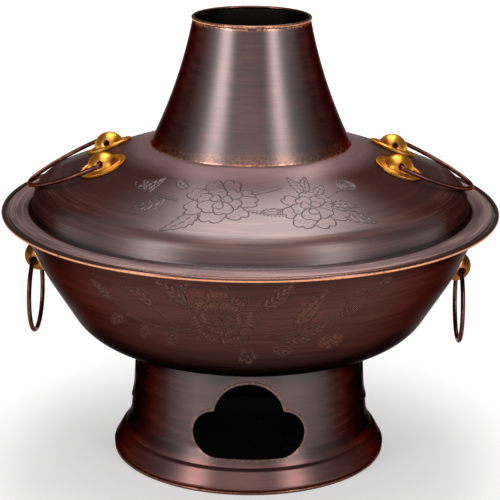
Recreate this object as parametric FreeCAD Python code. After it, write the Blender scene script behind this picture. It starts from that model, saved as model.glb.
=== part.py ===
import FreeCAD, Part
import math
import os

from FreeCAD import Placement, Rotation, Vector

# A charcoal hot pot of copper sheet: a hollow foot, a wide bowl round a fire tube, a domed
# lid with two folding bails, and a loose chimney that stands on the lid.
# Millimetres. The pot's axis is Z, the foot stands on z = 0, and the handles lie along X.

# ---- foot ----
foot_sheet = 1.2
foot_height = 75.5            # underside of the bowl's floor
foot_neck_margin = 8.9        # neck beyond the fire tube, where it meets the bowl
foot_flange_gap = 3.1         # foot's top flange stops this far from the fire tube
waist_spread = 5.5            # neck, out to the ring where the flare begins
waist_height = 24.5
waist_rounding = 8.0
neck_rounding = 2.5
crease_spread = 3.9           # flare, out to the crease above the skirt
crease_height = 15.4
crease_rounding = 0.6
skirt_shoulder_spread = 2.2   # crease, out to the skirt's shoulder
skirt_shoulder_height = 13.8
skirt_shoulder_rounding = 2.0
skirt_spread = 5.5            # skirt, out to the widest ring of the foot
skirt_height = 4.0
skirt_rounding = 2.4
foot_wire_radius = 1.2
foot_wire_inset = 1.7         # middle of the wire, in from the widest ring
foot_wire_flat = 0.15         # worn off the wire where it stands
foot_edge_inset = 1.4         # foot's lower edge, in from the widest ring

# ---- openings in the foot: cloud-shaped in front and behind, round vents at the sides ----
cloud_crown_radius = 22.4
cloud_lobe_radius = 14.8
cloud_lobe_spread = 20.5      # lobe centre from the middle of the opening
cloud_top_margin = 6.8        # crown of the opening to the top of the foot
cloud_sill_height = 20.6
vent_radius = 12.0
vent_height = 46.5            # middle of the vent
lip_width = 1.5               # raised lip round each opening
lip_proud = 0.7

# ---- ash floor inside the foot ----
ash_sheet = 1.2
ash_floor_height = 4.4
ash_rim_height = 3.4
ash_rounding = 1.8
ash_clearance = 0.3

# ---- bowl ----
bowl_sheet = 1.2
bowl_depth = 88.5             # rim flange above the bowl's floor
rim_radius = 160.0            # outside of the rolled rim
rim_wire_radius = 1.5
rim_ledge_width = 10.0        # rim to the corner between wall and rim flange
rim_ledge_rounding = 5.0
bowl_floor_margin = 6.2       # flat of the floor beyond the foot's neck
bowl_floor_rounding = 30.0
bowl_turn_inset = 50.6        # rim to the corner between floor and wall, before rounding
bowl_turn_rise = 11.9
bowl_turn_rounding = 35.0
bowl_break_inset = 26.0       # rim to the ring where the wall gets steeper
bowl_break_rise = 51.8
bowl_break_rounding = 80.0

# ---- fire tube and grate ----
tube_sheet = 1.2
tube_base_radius = 63.9
tube_straight = 5.0           # upright stretch at the tube's foot
tube_rounding = 12.0
tube_collar_clearance = 2.5   # tube's end inside the lid's collar
tube_top_gap = 2.6            # tube's end below the top of the collar
tube_fit = 0.1
solder_width = 2.4
ledge_width = 7.0
ledge_thickness = 1.5
ledge_rise = 3.4              # ledge above the bowl's floor
grate_thickness = 3.0
grate_clearance = 0.6
grate_rim = 7.0               # solid ring left round the slots
grate_slot_width = 5.0
grate_slot_pitch = 11.0

# ---- lid ----
lid_sheet = 1.0
lid_gap = 1.5                 # lid's edge to the rolled rim
brim_width = 14.2             # lid's edge to the foot of its dome, before rounding
brim_rounding = 3.0
shoulder_inset = 17.5         # lid's edge to the dome's shoulder, before rounding
shoulder_rise = 15.0
shoulder_rounding = 13.0
dome_middle_shift = 4.4       # dome's middle ring, in from halfway between shoulder and seat
dome_middle_rise = 31.0
dome_middle_rounding = 1500.0
dome_rise = 41.6              # brim to the flat seat that the chimney stands on
seat_margin = 2.4             # seat's edge beyond the chimney
seat_rounding = 12.0
collar_inset = 3.6            # upturned collar inside the chimney's wall
collar_height = 5.6
collar_rounding = 1.5

# ---- chimney ----
chimney_sheet = 1.0
chimney_base_radius = 64.4
chimney_height = 80.5
chimney_top_radius = 37.4
chimney_hollow = 2.8          # how far the trumpet curve bows in from a straight cone
chimney_wire_radius = 1.05
chimney_wire_inset = 0.3      # middle of the wire, in from the chimney's outside

# ---- brass bosses that carry the bails and rings ----
lid_dome_radius = 10.0
lid_dome_height = 7.8
lid_plate_margin = 5.4        # plate beyond the dome
bowl_dome_radius = 9.9
bowl_dome_height = 9.9
bowl_plate_margin = 3.6
plate_thickness = 1.7
plate_step_thickness = 1.0
plate_step_width = 3.2
plate_bead = 0.45             # height of the raised edge round the plate
plate_bead_width = 0.9
plate_rounding = 0.36
tenon_radius = 2.4
tenon_fit = 0.1
washer_radius = 5.5
washer_thickness = 1.0
washer_clearance = 0.3
tail_radius = 3.8
tail_thickness = 1.4
tail_rounding = 0.56
plate_clearance = 0.05

# ---- bails on the lid ----
bail_wire_radius = 1.45
bail_hole_clearance = 0.65
bail_hole_height = 2.3        # hole's axis above the plate
lid_boss_shift = 1.2          # bosses, in from the dome's middle ring
lid_boss_spread = 27.7        # each boss from the middle of its pair, along Y
bail_reach = 53.0             # hinge line to the middle of the bail's end
bail_tip_radius = 24.0
bail_bend_radius = 2.8
bail_side_gap = 1.2           # bail's leg to the side of the dome
bail_grip = 7.5               # wire's end, in from the side of the dome
bail_rest_gap = 0.35          # wire to the lid, where the folded bail rests

# ---- rings on the bowl ----
ring_wire_radius = 1.5
ring_radius = 24.8            # to the middle of the wire
ring_hole_clearance = 1.65
ring_hole_height = 3.6
bowl_boss_drop_left = 33.5    # bosses below the rim, as their maker set them
bowl_boss_drop_right = 38.5
ring_slew_left = -4.0         # degrees that a ring hangs askew in its loose hole
ring_slew_right = 0.0

joint_gap = 0.05              # at soldered edges and rolled wires

# ---- heights and radii that follow ----
foot_neck_radius = tube_base_radius + foot_neck_margin
waist_radius = foot_neck_radius + waist_spread
crease_radius = waist_radius + crease_spread
skirt_shoulder_radius = crease_radius + skirt_shoulder_spread
skirt_radius = skirt_shoulder_radius + skirt_spread
foot_wire_top = 2 * foot_wire_radius - foot_wire_flat
opening_depth = 1.1 * skirt_radius
floor_top = foot_height + bowl_sheet
rim_top = foot_height + bowl_depth
rim_flange_radius = rim_radius - 2 * rim_wire_radius - joint_gap
lid_edge_radius = rim_radius - 2 * rim_wire_radius - lid_gap
brim_top = rim_top + lid_sheet
seat_top = brim_top + dome_rise
seat_radius = chimney_base_radius + seat_margin
shoulder_radius = lid_edge_radius - shoulder_inset
dome_middle_radius = (shoulder_radius + seat_radius) / 2 - dome_middle_shift
lid_boss_radius = dome_middle_radius - lid_boss_shift
collar_radius = chimney_base_radius - chimney_sheet - collar_inset
collar_top = seat_top + collar_height
tube_top_radius = collar_radius - lid_sheet - tube_collar_clearance
tube_top = collar_top - tube_top_gap
chimney_top = seat_top + chimney_height
plate_top = plate_clearance + plate_thickness
lid_plate_radius = lid_dome_radius + lid_plate_margin
bowl_plate_radius = bowl_dome_radius + bowl_plate_margin
bail_hole_radius = bail_wire_radius + bail_hole_clearance
ring_hole_radius = ring_wire_radius + ring_hole_clearance

ORIGIN = Vector(0, 0, 0)
UP = Vector(0, 0, 1)
ACROSS = Vector(0, 1, 0)
TOUCHING = 1e-6
LONGEST_TRIM = 0.48           # share of a line that the rounding at one end may take


def at(radius, height):
    return Vector(radius, 0, height)


def outline(corners):
    """Lines and arcs along corners of (radius, height, rounding), from first to last."""
    points = [at(corner[0], corner[1]) for corner in corners]
    edges = []
    start = points[0]
    for i in range(1, len(points) - 1):
        back = points[i - 1] - points[i]
        onward = points[i + 1] - points[i]
        half = back.getAngle(onward) / 2
        longest_trim = LONGEST_TRIM * min(back.Length, onward.Length)
        rounding = min(corners[i][2], longest_trim * math.tan(half))
        trim = rounding / math.tan(half)
        back.normalize()
        onward.normalize()
        middle = (back + onward).normalize()
        arc_start = points[i] + back * trim
        arc_middle = points[i] + middle * (rounding / math.sin(half) - rounding)
        arc_end = points[i] + onward * trim
        edges.append(Part.makeLine(start, arc_start))
        edges.append(Part.Arc(arc_start, arc_middle, arc_end).toShape())
        start = arc_end
    edges.append(Part.makeLine(start, points[-1]))
    return edges


def shifted(edge, distance):
    """The same line or arc moved sideways, to the left of its travel."""
    points = []
    for share in (0.0, 0.5, 1.0):
        value = edge.FirstParameter + (edge.LastParameter - edge.FirstParameter) * share
        tangent = edge.tangentAt(value)
        points.append(edge.valueAt(value) + Vector(-tangent.z, 0, tangent.x) * distance)
    if isinstance(edge.Curve, Part.Line):
        return Part.makeLine(points[0], points[2])
    return Part.Arc(points[0], points[1], points[2]).toShape()


def first_point(edge):
    return edge.valueAt(edge.FirstParameter)


def last_point(edge):
    return edge.valueAt(edge.LastParameter)


def spun(edges):
    section = Part.Face(Part.Wire(Part.__sortEdges__(edges)))
    return section.revolve(ORIGIN, UP, 360)


def spun_band(right, left):
    """The solid spun from the band between two lines of edges that run the same way."""
    cap_start = Part.makeLine(first_point(right[0]), first_point(left[0]))
    cap_end = Part.makeLine(last_point(right[-1]), last_point(left[-1]))
    return spun(right + left + [cap_start, cap_end])


def spun_sheet(edges, thickness):
    """Spun sheet metal: the edges are its outer face, and its thickness is on their left."""
    return spun_band(edges, [shifted(edge, thickness) for edge in edges])


def spun_polygon(points):
    edges = []
    for i in range(len(points)):
        edges.append(Part.makeLine(at(*points[i - 1]), at(*points[i])))
    return spun(edges)


def wire_ring(middle_radius, wire_radius, height):
    return Part.makeTorus(middle_radius, wire_radius, at(0, height), UP)


def spot_on(edges, gauge):
    """Where a straight gauge line meets the outline, and the outward direction there."""
    for edge in edges:
        distance, pairs, details = edge.distToShape(gauge)
        if distance < TOUCHING:
            point = pairs[0][0]
            tangent = edge.tangentAt(edge.Curve.parameter(point))
            return point, Vector(tangent.z, 0, -tangent.x)
    raise ValueError("the gauge line misses the outline")


def turned(vector, angle):
    return Rotation(UP, math.degrees(angle)).multVec(vector)


def placed(shape, point, direction):
    """A shape made standing on the origin, stood on a point of a wall."""
    copy = shape.copy()
    copy.Placement = Placement(point, Rotation(UP, direction))
    return copy


# ---- outlines of the spun sheets, outer faces ----
neck_corners = [
    (crease_radius, crease_height, crease_rounding),
    (waist_radius, waist_height, waist_rounding),
    (foot_neck_radius, foot_height, neck_rounding),
]
foot_outline = outline([
    (skirt_radius - foot_edge_inset, foot_wire_top + joint_gap, 0),
    (skirt_radius, skirt_height, skirt_rounding),
    (skirt_shoulder_radius, skirt_shoulder_height, skirt_shoulder_rounding),
] + neck_corners + [
    (tube_base_radius + foot_flange_gap, foot_height, 0),
])
bowl_outline = outline([
    (tube_base_radius + tube_fit, foot_height, 0),
    (foot_neck_radius + bowl_floor_margin, foot_height, bowl_floor_rounding),
    (rim_radius - bowl_turn_inset, foot_height + bowl_turn_rise, bowl_turn_rounding),
    (rim_radius - bowl_break_inset, foot_height + bowl_break_rise, bowl_break_rounding),
    (rim_radius - rim_ledge_width, rim_top - bowl_sheet, rim_ledge_rounding),
    (rim_flange_radius, rim_top - bowl_sheet, 0),
])
tube_outline = outline([
    (tube_base_radius, foot_height - foot_sheet, 0),
    (tube_base_radius, foot_height + tube_straight, tube_rounding),
    (tube_top_radius, tube_top, 0),
])
lid_outline = outline([
    (lid_edge_radius, brim_top, 0),
    (lid_edge_radius - brim_width, brim_top, brim_rounding),
    (shoulder_radius, brim_top + shoulder_rise, shoulder_rounding),
    (dome_middle_radius, brim_top + dome_middle_rise, dome_middle_rounding),
    (seat_radius, seat_top, seat_rounding),
    (collar_radius, seat_top, collar_rounding),
    (collar_radius, collar_top, 0),
])


def make_boss(dome_radius, dome_height, sheet, wall_point, outward, hole_height, hole_radius):
    """A domed boss whose tenon goes through plate, sheet and washer and is peened over."""
    ball = Part.makeSphere(dome_radius, at(0, plate_top + dome_height - dome_radius))
    above = Part.makeCylinder(2 * dome_radius, 2 * dome_radius, at(0, plate_top))
    tail_top = -(sheet + washer_clearance + washer_thickness)
    tenon = Part.makeCylinder(tenon_radius, plate_top - tail_top, at(0, tail_top))
    tail = Part.makeCylinder(tail_radius, tail_thickness, at(0, tail_top - tail_thickness))
    tail_edge = [edge for edge in tail.Edges if edge.CenterOfMass.z < tail_top - tail_thickness / 2]
    tail = tail.makeFillet(tail_rounding, tail_edge[:1])
    boss = ball.common(above).fuse([tenon, tail]).removeSplitter()
    boss = placed(boss, wall_point, outward)
    hole_middle = hole_centre(wall_point, outward, hole_height)
    hole = Part.makeCylinder(hole_radius, 4 * dome_radius,
                             hole_middle - ACROSS * 2 * dome_radius, ACROSS)
    return boss.cut(hole)


def make_plate(plate_radius):
    """The stepped round plate under a boss, with a raised edge."""
    step = plate_clearance + plate_step_thickness
    raised = plate_radius - plate_step_width
    plate = spun_polygon([
        (tenon_radius + tenon_fit, plate_clearance),
        (plate_radius, plate_clearance),
        (plate_radius, step + plate_bead),
        (plate_radius - plate_bead_width, step + plate_bead),
        (plate_radius - plate_bead_width - plate_bead, step),
        (raised, step),
        (raised - plate_thickness + plate_step_thickness, plate_top),
        (tenon_radius + tenon_fit, plate_top),
    ])
    outer = [edge for edge in plate.Edges
             if abs(edge.BoundBox.XMax - plate_radius) < TOUCHING and edge.CenterOfMass.z > step]
    return plate.makeFillet(plate_rounding, outer[:1])


def make_washer(sheet):
    top = -(sheet + washer_clearance)
    return spun_polygon([
        (tenon_radius + tenon_fit, top - washer_thickness),
        (washer_radius, top - washer_thickness),
        (washer_radius, top),
        (tenon_radius + tenon_fit, top),
    ])


def tenon_hole(wall_point, outward):
    reach = 2 * tail_radius
    start = wall_point - outward * reach
    return Part.makeCylinder(tenon_radius + tenon_fit, 2 * reach, start, outward)


def hole_centre(wall_point, outward, hole_height):
    return wall_point + outward * (plate_top + hole_height)


def cloud(grow):
    """Prism of the cloud outline, from the axis out through the front of the foot."""
    crown_height = foot_height - cloud_top_margin - cloud_crown_radius
    lobe_height = cloud_sill_height + cloud_lobe_radius
    near = ACROSS * -opening_depth
    above_sill = Part.makeBox(2 * skirt_radius, opening_depth, foot_height,
                              near + at(-skirt_radius, cloud_sill_height - grow))
    crown = Part.makeCylinder(cloud_crown_radius + grow, opening_depth,
                              near + at(0, crown_height), ACROSS)
    lobes = []
    for side in (-1, 1):
        middle = near + at(side * cloud_lobe_spread, lobe_height)
        lobes.append(Part.makeCylinder(cloud_lobe_radius + grow, opening_depth, middle, ACROSS))
    corner = near + at(-cloud_lobe_spread, cloud_sill_height - grow)
    sill = Part.makeBox(2 * cloud_lobe_spread, opening_depth, crown_height - corner.z, corner)
    return crown.common(above_sill).fuse(lobes + [sill]).removeSplitter()


def vent(grow):
    """Cylinder of the round vent, from the axis out through the front of the foot."""
    near = ACROSS * -opening_depth
    return Part.makeCylinder(vent_radius + grow, opening_depth, near + at(0, vent_height), ACROSS)


def make_foot():
    foot = spun_sheet(foot_outline, foot_sheet)
    neck = outline(neck_corners)
    raised = spun_band([shifted(edge, -lip_proud) for edge in neck],
                       [shifted(edge, 0.5 * foot_sheet) for edge in neck])
    lips = []
    openings = []
    for turn, shape_of in ((0, cloud), (90, vent), (180, cloud), (270, vent)):
        lip = raised.common(shape_of(lip_width))
        lip.rotate(ORIGIN, UP, turn)
        opening = shape_of(0)
        opening.rotate(ORIGIN, UP, turn)
        lips.append(lip)
        openings.append(opening)
    return foot.fuse(lips).cut(openings)


def make_foot_wire():
    middle = foot_wire_radius - foot_wire_flat
    wire = wire_ring(skirt_radius - foot_wire_inset, foot_wire_radius, middle)
    below = Part.makeCylinder(2 * skirt_radius, foot_height, at(0, -foot_height))
    return wire.cut(below)


def make_ash_floor():
    """A shallow tray inside the skirt, held where the skirt narrows."""
    lean = (skirt_radius - skirt_shoulder_radius) / (skirt_shoulder_height - skirt_height)
    rim = ash_floor_height + ash_rim_height
    skirt_inside = skirt_radius - lean * (rim - skirt_height) - foot_sheet * math.hypot(1, lean)
    radius = skirt_inside - ash_clearance
    tray = outline([
        (0, ash_floor_height, 0),
        (radius, ash_floor_height, ash_rounding),
        (radius, rim, 0),
    ])
    return spun_sheet(tray, ash_sheet)


def tube_inside(height):
    """Radius inside the fire tube at a height on its tapering stretch."""
    start = foot_height + tube_straight
    taper = (tube_base_radius - tube_top_radius) / (tube_top - start)
    return tube_base_radius - taper * (height - start) - tube_sheet * math.hypot(1, taper)


def make_solder():
    inside = tube_base_radius + joint_gap
    return spun_polygon([
        (inside, floor_top + joint_gap),
        (inside + solder_width, floor_top + joint_gap),
        (inside, floor_top + solder_width),
    ])


ledge_top = floor_top + ledge_rise + ledge_thickness


def make_ledge():
    outside = tube_inside(ledge_top) - joint_gap
    return spun_polygon([
        (outside - ledge_width, ledge_top - ledge_thickness),
        (outside, ledge_top - ledge_thickness),
        (outside, ledge_top),
        (outside - ledge_width, ledge_top),
    ])


def make_grate():
    radius = tube_inside(ledge_top + grate_thickness) - grate_clearance
    grate = Part.makeCylinder(radius, grate_thickness, at(0, ledge_top))
    slotted = radius - grate_rim
    per_side = int((slotted - grate_slot_width) / grate_slot_pitch)
    slots = []
    for i in range(-per_side, per_side + 1):
        x = i * grate_slot_pitch
        half_length = math.sqrt(slotted ** 2 - x ** 2) - grate_slot_width / 2
        corner = Vector(x - grate_slot_width / 2, -half_length, ledge_top)
        slots.append(Part.makeBox(grate_slot_width, 2 * half_length, grate_thickness, corner))
        for end in (-half_length, half_length):
            slots.append(Part.makeCylinder(grate_slot_width / 2, grate_thickness,
                                           Vector(x, end, ledge_top)))
    return grate.cut(slots)


def make_chimney():
    base = at(chimney_base_radius, seat_top)
    top = at(chimney_top_radius, chimney_top - chimney_wire_radius)
    chord = top - base
    inward = Vector(-chord.z, 0, chord.x).normalize()
    middle = (base + top) * 0.5 + inward * chimney_hollow
    trumpet = Part.Arc(base, middle, top).toShape()
    body = spun_sheet([trumpet], chimney_sheet)
    # Both ends are cut level, so that the lower one stands flat on the lid.
    wide = 2 * chimney_base_radius
    below = Part.makeCylinder(wide, chimney_height, at(0, seat_top - chimney_height))
    above = Part.makeCylinder(wide, chimney_height, at(0, top.z))
    return body.cut([below, above])


def bail_half():
    """Half of the bail's centreline, lying flat, hinged along Y and reaching along X."""
    leg = lid_boss_spread + lid_dome_radius + bail_side_gap + bail_wire_radius
    run = bail_reach - bail_bend_radius
    side_radius = (run ** 2 + leg ** 2 - 2 * run * bail_tip_radius) / (2 * (leg - bail_tip_radius))
    side_centre = Vector(bail_bend_radius, leg - side_radius, 0)
    tip_centre = Vector(bail_reach - bail_tip_radius, 0, 0)
    meet = side_centre + (tip_centre - side_centre).normalize() * side_radius
    tip = Vector(bail_reach, 0, 0)
    tip_middle = tip_centre + (meet + tip - tip_centre * 2).normalize() * bail_tip_radius
    leg_start = Vector(bail_bend_radius, leg, 0)
    side_middle = side_centre + (leg_start + meet - side_centre * 2).normalize() * side_radius
    bend_start = Vector(0, leg - bail_bend_radius, 0)
    bend_centre = Vector(bail_bend_radius, leg - bail_bend_radius, 0)
    bend_middle = bend_centre + Vector(-1, 1, 0).normalize() * bail_bend_radius
    grip_end = Vector(0, lid_boss_spread + lid_dome_radius - bail_grip, 0)
    return [Part.makeLine(grip_end, bend_start),
            Part.Arc(bend_start, bend_middle, leg_start).toShape(),
            Part.Arc(leg_start, side_middle, meet).toShape(),
            Part.Arc(meet, tip_middle, tip).toShape()]


def make_bail():
    """Wire bail: two gripped ends, small bends, long side arcs and a round outer end."""
    half = bail_half()
    other_half = [edge.mirror(ORIGIN, ACROSS) for edge in half]
    path = Part.Wire(half + other_half[::-1])
    section = Part.Wire(Part.makeCircle(bail_wire_radius, first_point(half[0]), ACROSS))
    return path.makePipeShell([section], True, False)


def fold_angle(hinge):
    """Degrees below level at which a bail hinged there comes to rest on the lid or the rim."""
    points_per_edge = 12
    closest = 0.01
    hanging = 90.0
    rim = Part.makeCircle(rim_wire_radius, at(rim_radius - rim_wire_radius, rim_top), ACROSS)
    below = Part.Compound(lid_outline + [rim])
    wire = [point for edge in bail_half() for point in edge.discretize(points_per_edge)]
    angle = 0.0
    spare = bail_reach
    while spare > closest and angle < hanging:
        fold = Rotation(ACROSS, angle)
        gaps = []
        for point in wire:
            spot = hinge + fold.multVec(point)
            probe = Part.Vertex(at(math.hypot(spot.x, spot.y), spot.z))
            gaps.append(probe.distToShape(below)[0])
        # No point of the wire moves further than this turn's angle times the reach.
        spare = min(gaps) - bail_wire_radius - bail_rest_gap
        angle += math.degrees(spare / bail_reach)
    return angle


def make_ring(hole_middle, slew):
    """A closed ring hanging through the boss, bowed evenly about the hole's axis."""
    above_centre = ring_hole_height - bowl_dome_height + bowl_dome_radius
    bore_half = math.sqrt(bowl_dome_radius ** 2 - above_centre ** 2)
    bow = ring_radius - math.sqrt(ring_radius ** 2 - bore_half ** 2)
    centre = hole_middle - UP * (ring_radius - bow / 2)
    facing = Rotation(UP, slew).multVec(Vector(1, 0, 0))
    return Part.makeTorus(ring_radius, ring_wire_radius, centre, facing)


parts = {}

# ---- the pot: foot, ash floor, bowl, fire tube and grate ----
parts["foot"] = make_foot()
parts["foot_edge_wire"] = make_foot_wire()
parts["ash_floor"] = make_ash_floor()
parts["fire_tube"] = spun_sheet(tube_outline, tube_sheet)
parts["tube_solder"] = make_solder()
parts["grate_ledge"] = make_ledge()
parts["grate"] = make_grate()
parts["bowl_rim_wire"] = wire_ring(rim_radius - rim_wire_radius, rim_wire_radius, rim_top)

# ---- the bowl with a boss, a plate, a washer and a ring on each side ----
bowl_holes = []
bowl_washers = []
ring_hinges = {}
for name, turn, drop, slew in (("right", 0, bowl_boss_drop_right, ring_slew_right),
                               ("left", math.pi, bowl_boss_drop_left, ring_slew_left)):
    boss_level = rim_top - drop
    gauge = Part.makeLine(at(0, boss_level), at(2 * rim_radius, boss_level))
    wall_point, wall_outward = spot_on(bowl_outline, gauge)
    point = turned(wall_point, turn)
    outward = turned(wall_outward, turn)
    parts["bowl_boss_" + name] = make_boss(bowl_dome_radius, bowl_dome_height, bowl_sheet, point,
                                           outward, ring_hole_height, ring_hole_radius)
    parts["bowl_plate_" + name] = placed(make_plate(bowl_plate_radius), point, outward)
    ring_hinges[name] = hole_centre(point, outward, ring_hole_height)
    parts["ring_" + name] = make_ring(ring_hinges[name], slew)
    bowl_washers.append(placed(make_washer(bowl_sheet), point, outward))
    bowl_holes.append(tenon_hole(point, outward))
parts["bowl"] = spun_sheet(bowl_outline, bowl_sheet).cut(bowl_holes)
parts["bowl_washers"] = Part.makeCompound(bowl_washers)

# ---- the lid with a bail, two bosses, two plates and two washers on each side ----
lid_boss_offset = math.sqrt(lid_boss_radius ** 2 - lid_boss_spread ** 2)
gauge = Part.makeLine(at(lid_boss_radius, brim_top), at(lid_boss_radius, 2 * seat_top))
dome_point, dome_outward = spot_on(lid_outline, gauge)
lid_holes = []
lid_washers = []
for name, side in (("right", 1), ("left", -1)):
    for place, across in (("front", -1), ("back", 1)):
        turn = math.atan2(across * lid_boss_spread, side * lid_boss_offset)
        point = turned(dome_point, turn)
        outward = turned(dome_outward, turn)
        key = name + "_" + place
        parts["lid_boss_" + key] = make_boss(lid_dome_radius, lid_dome_height, lid_sheet, point,
                                             outward, bail_hole_height, bail_hole_radius)
        parts["lid_plate_" + key] = placed(make_plate(lid_plate_radius), point, outward)
        lid_washers.append(placed(make_washer(lid_sheet), point, outward))
        lid_holes.append(tenon_hole(point, outward))
hole = hole_centre(dome_point, dome_outward, bail_hole_height)
hinge = at(hole.x * lid_boss_offset / lid_boss_radius, hole.z)
fold = fold_angle(hinge)
for name, turn in (("right", 0), ("left", 180)):
    aside = Rotation(UP, turn)
    bail = make_bail()
    bail.Placement = Placement(aside.multVec(hinge), aside.multiply(Rotation(ACROSS, fold)))
    parts["bail_" + name] = bail
parts["lid"] = spun_sheet(lid_outline, lid_sheet).cut(lid_holes)
parts["lid_washers"] = Part.makeCompound(lid_washers)

# ---- the chimney ----
parts["chimney"] = make_chimney()
parts["chimney_top_wire"] = wire_ring(chimney_top_radius - chimney_wire_inset,
                                      chimney_wire_radius, chimney_top + joint_gap)

os.makedirs("parts", exist_ok=True)
for name, shape in parts.items():
    shape.exportStep("parts/" + name + ".step")
    print(name, "valid" if shape.isValid() else "NOT VALID", len(shape.Solids),
          "volume", round(shape.Volume), "top", round(shape.BoundBox.ZMax, 2))
for name, ring_hinge in ring_hinges.items():
    print("ring hinge", name, round(ring_hinge.x, 3), round(ring_hinge.z, 3))
print("bail hinge", round(hinge.x, 3), round(hinge.z, 3), "folded", round(fold, 2))
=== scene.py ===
import math
import random
from functools import reduce

import bmesh
import bpy
from mathutils import Matrix, Vector


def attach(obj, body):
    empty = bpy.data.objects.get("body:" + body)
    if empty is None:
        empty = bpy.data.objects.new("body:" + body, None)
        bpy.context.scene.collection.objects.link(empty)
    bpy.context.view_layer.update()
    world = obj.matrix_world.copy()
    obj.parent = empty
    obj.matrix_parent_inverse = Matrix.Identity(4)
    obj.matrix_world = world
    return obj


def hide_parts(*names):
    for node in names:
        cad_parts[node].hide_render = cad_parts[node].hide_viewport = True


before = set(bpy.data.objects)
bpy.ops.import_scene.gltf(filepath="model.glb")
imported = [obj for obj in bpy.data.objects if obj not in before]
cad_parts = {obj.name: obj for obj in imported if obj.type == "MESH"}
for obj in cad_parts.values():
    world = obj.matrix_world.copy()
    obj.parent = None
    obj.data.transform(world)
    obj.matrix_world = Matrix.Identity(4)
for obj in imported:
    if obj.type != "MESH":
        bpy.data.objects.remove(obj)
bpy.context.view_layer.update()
scene = bpy.context.scene
mm = 0.001               # shapes are written in millimetres, the scene is in metres

# camera and lamps

viewSetup = {
    "lens": 137.95, "sensor": 36.0,
    "place": (0, -1.1951, 0.4969),
    "tiltDown": 16.89,       # degrees below level
    "roll": 0.45,
}


def makeCamera(setup):
    data = bpy.data.cameras.new("viewCamera")
    data.lens = setup["lens"]
    data.sensor_width = setup["sensor"]
    camera = bpy.data.objects.new("viewCamera", data)
    scene.collection.objects.link(camera)
    camera.matrix_world = (Matrix.Translation(setup["place"])
                           @ Matrix.Rotation(math.radians(90 - setup["tiltDown"]), 4, "X")
                           @ Matrix.Rotation(math.radians(setup["roll"]), 4, "Z"))
    scene.camera = camera


studioSetup = {
    "aim": (0, 0, 0.17),
    "skyLevel": 0.20,
    # azimuth from the front (right is plus), elevation, distance, width, height, radiance
    "softboxes": {
        "leftSoftbox": (-47, 19, 1.5, 0.44, 1.00, 5.15),
        "rightSoftbox": (40, 20, 1.5, 0.36, 1.05, 5.2),
        "frontSoftbox": (-4, 32, 2.6, 1.50, 1.40, 1.0),
        "topSoftbox": (176, 64, 1.3, 0.68, 1.10, 4.7),
        "overheadSoftbox": (0, 77, 1.4, 0.80, 0.62, 2.2),
    },
}


def makeSoftbox(name, azimuth, elevation, distance, width, height, radiance):
    data = bpy.data.lights.new(name, "AREA")
    data.shape = "RECTANGLE"
    data.size = width
    data.size_y = height
    data.energy = radiance * math.pi * width * height
    lamp = bpy.data.objects.new(name, data)
    scene.collection.objects.link(lamp)
    lamp.visible_camera = False
    turn, lift = math.radians(azimuth), math.radians(elevation)
    level = math.cos(lift)
    away = Vector((math.sin(turn) * level, -math.cos(turn) * level, math.sin(lift)))
    lamp.location = Vector(studioSetup["aim"]) + away * distance
    lamp.rotation_mode = "QUATERNION"
    lamp.rotation_quaternion = away.to_track_quat("Z", "Y")


def makeLamps(setup):
    for name, facts in setup["softboxes"].items():
        makeSoftbox(name, *facts)
    world = bpy.data.worlds.new("studioSky")
    world.use_nodes = True
    sky = world.node_tree.nodes["Background"]
    sky.inputs["Color"].default_value = (1, 1, 1, 1)
    sky.inputs["Strength"].default_value = setup["skyLevel"]
    scene.world = world
    scene.view_settings.view_transform = "Standard"


# short ways to write node trees

def addNode(tree, kind, sockets=None, **settings):
    # sockets: what goes into the node's inputs, by name or by place
    made = tree.nodes.new(kind)
    for key, value in settings.items():
        setattr(made, key, value)
    feedAll(tree, made, sockets or {})
    return made


def feed(tree, socket, value):           # links another node's output, or sets a plain value
    if isinstance(value, bpy.types.NodeSocket):
        tree.links.new(value, socket)
    else:
        socket.default_value = value


def feedAll(tree, node, sockets):
    for label, value in sockets.items():
        if value is not None:
            feed(tree, node.inputs[label], value)


def calc(tree, operation, *values, clamp=False):
    made = addNode(tree, "ShaderNodeMath", operation=operation, use_clamp=clamp)
    feedAll(tree, made, dict(enumerate(values)))
    return made.outputs[0]


def times(tree, *values):                # multiplied from the left, two by two
    return reduce(lambda a, b: calc(tree, "MULTIPLY", a, b), values)


def plus(tree, a, b):
    return calc(tree, "ADD", a, b)


def minus(tree, a, b):
    return calc(tree, "SUBTRACT", a, b)


def largest(tree, a, b):
    return calc(tree, "MAXIMUM", a, b)


def blend(tree, a, b, share):            # share of a, the rest of b
    return plus(tree, times(tree, a, share), times(tree, b, 1 - share))


def ramp(tree, value, low, high):        # 0 at low, 1 at high, smooth between
    return addNode(tree, "ShaderNodeMapRange", {"Value": value, "From Min": low, "From Max": high},
                   interpolation_type="SMOOTHSTEP").outputs["Result"]


def between(tree, value, low, high, soft):    # 1 from low to high, fading over soft outside
    return times(tree, ramp(tree, value, low - soft, low), ramp(tree, value, high + soft, high))


def spread(tree, value, low, high):      # carries 0..1 to low..high
    return addNode(tree, "ShaderNodeMapRange",
                   {"Value": value, "To Min": low, "To Max": high}).outputs["Result"]


def mixColour(tree, factor, first, second, mode="MIX"):
    made = addNode(tree, "ShaderNodeMix", {0: factor}, data_type="RGBA", blend_type=mode)
    for place, value in ((6, first), (7, second)):
        isSocket = isinstance(value, bpy.types.NodeSocket)
        feed(tree, made.inputs[place], value if isSocket else (*value, 1))
    return made.outputs[2]


def eased(tree, value, levels, ends):    # from the first end to the second, as levels are passed
    return spread(tree, ramp(tree, value, *levels), *ends)


def fade(tree, value, levels, first, second):
    return mixColour(tree, ramp(tree, value, *levels), first, second)


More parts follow.
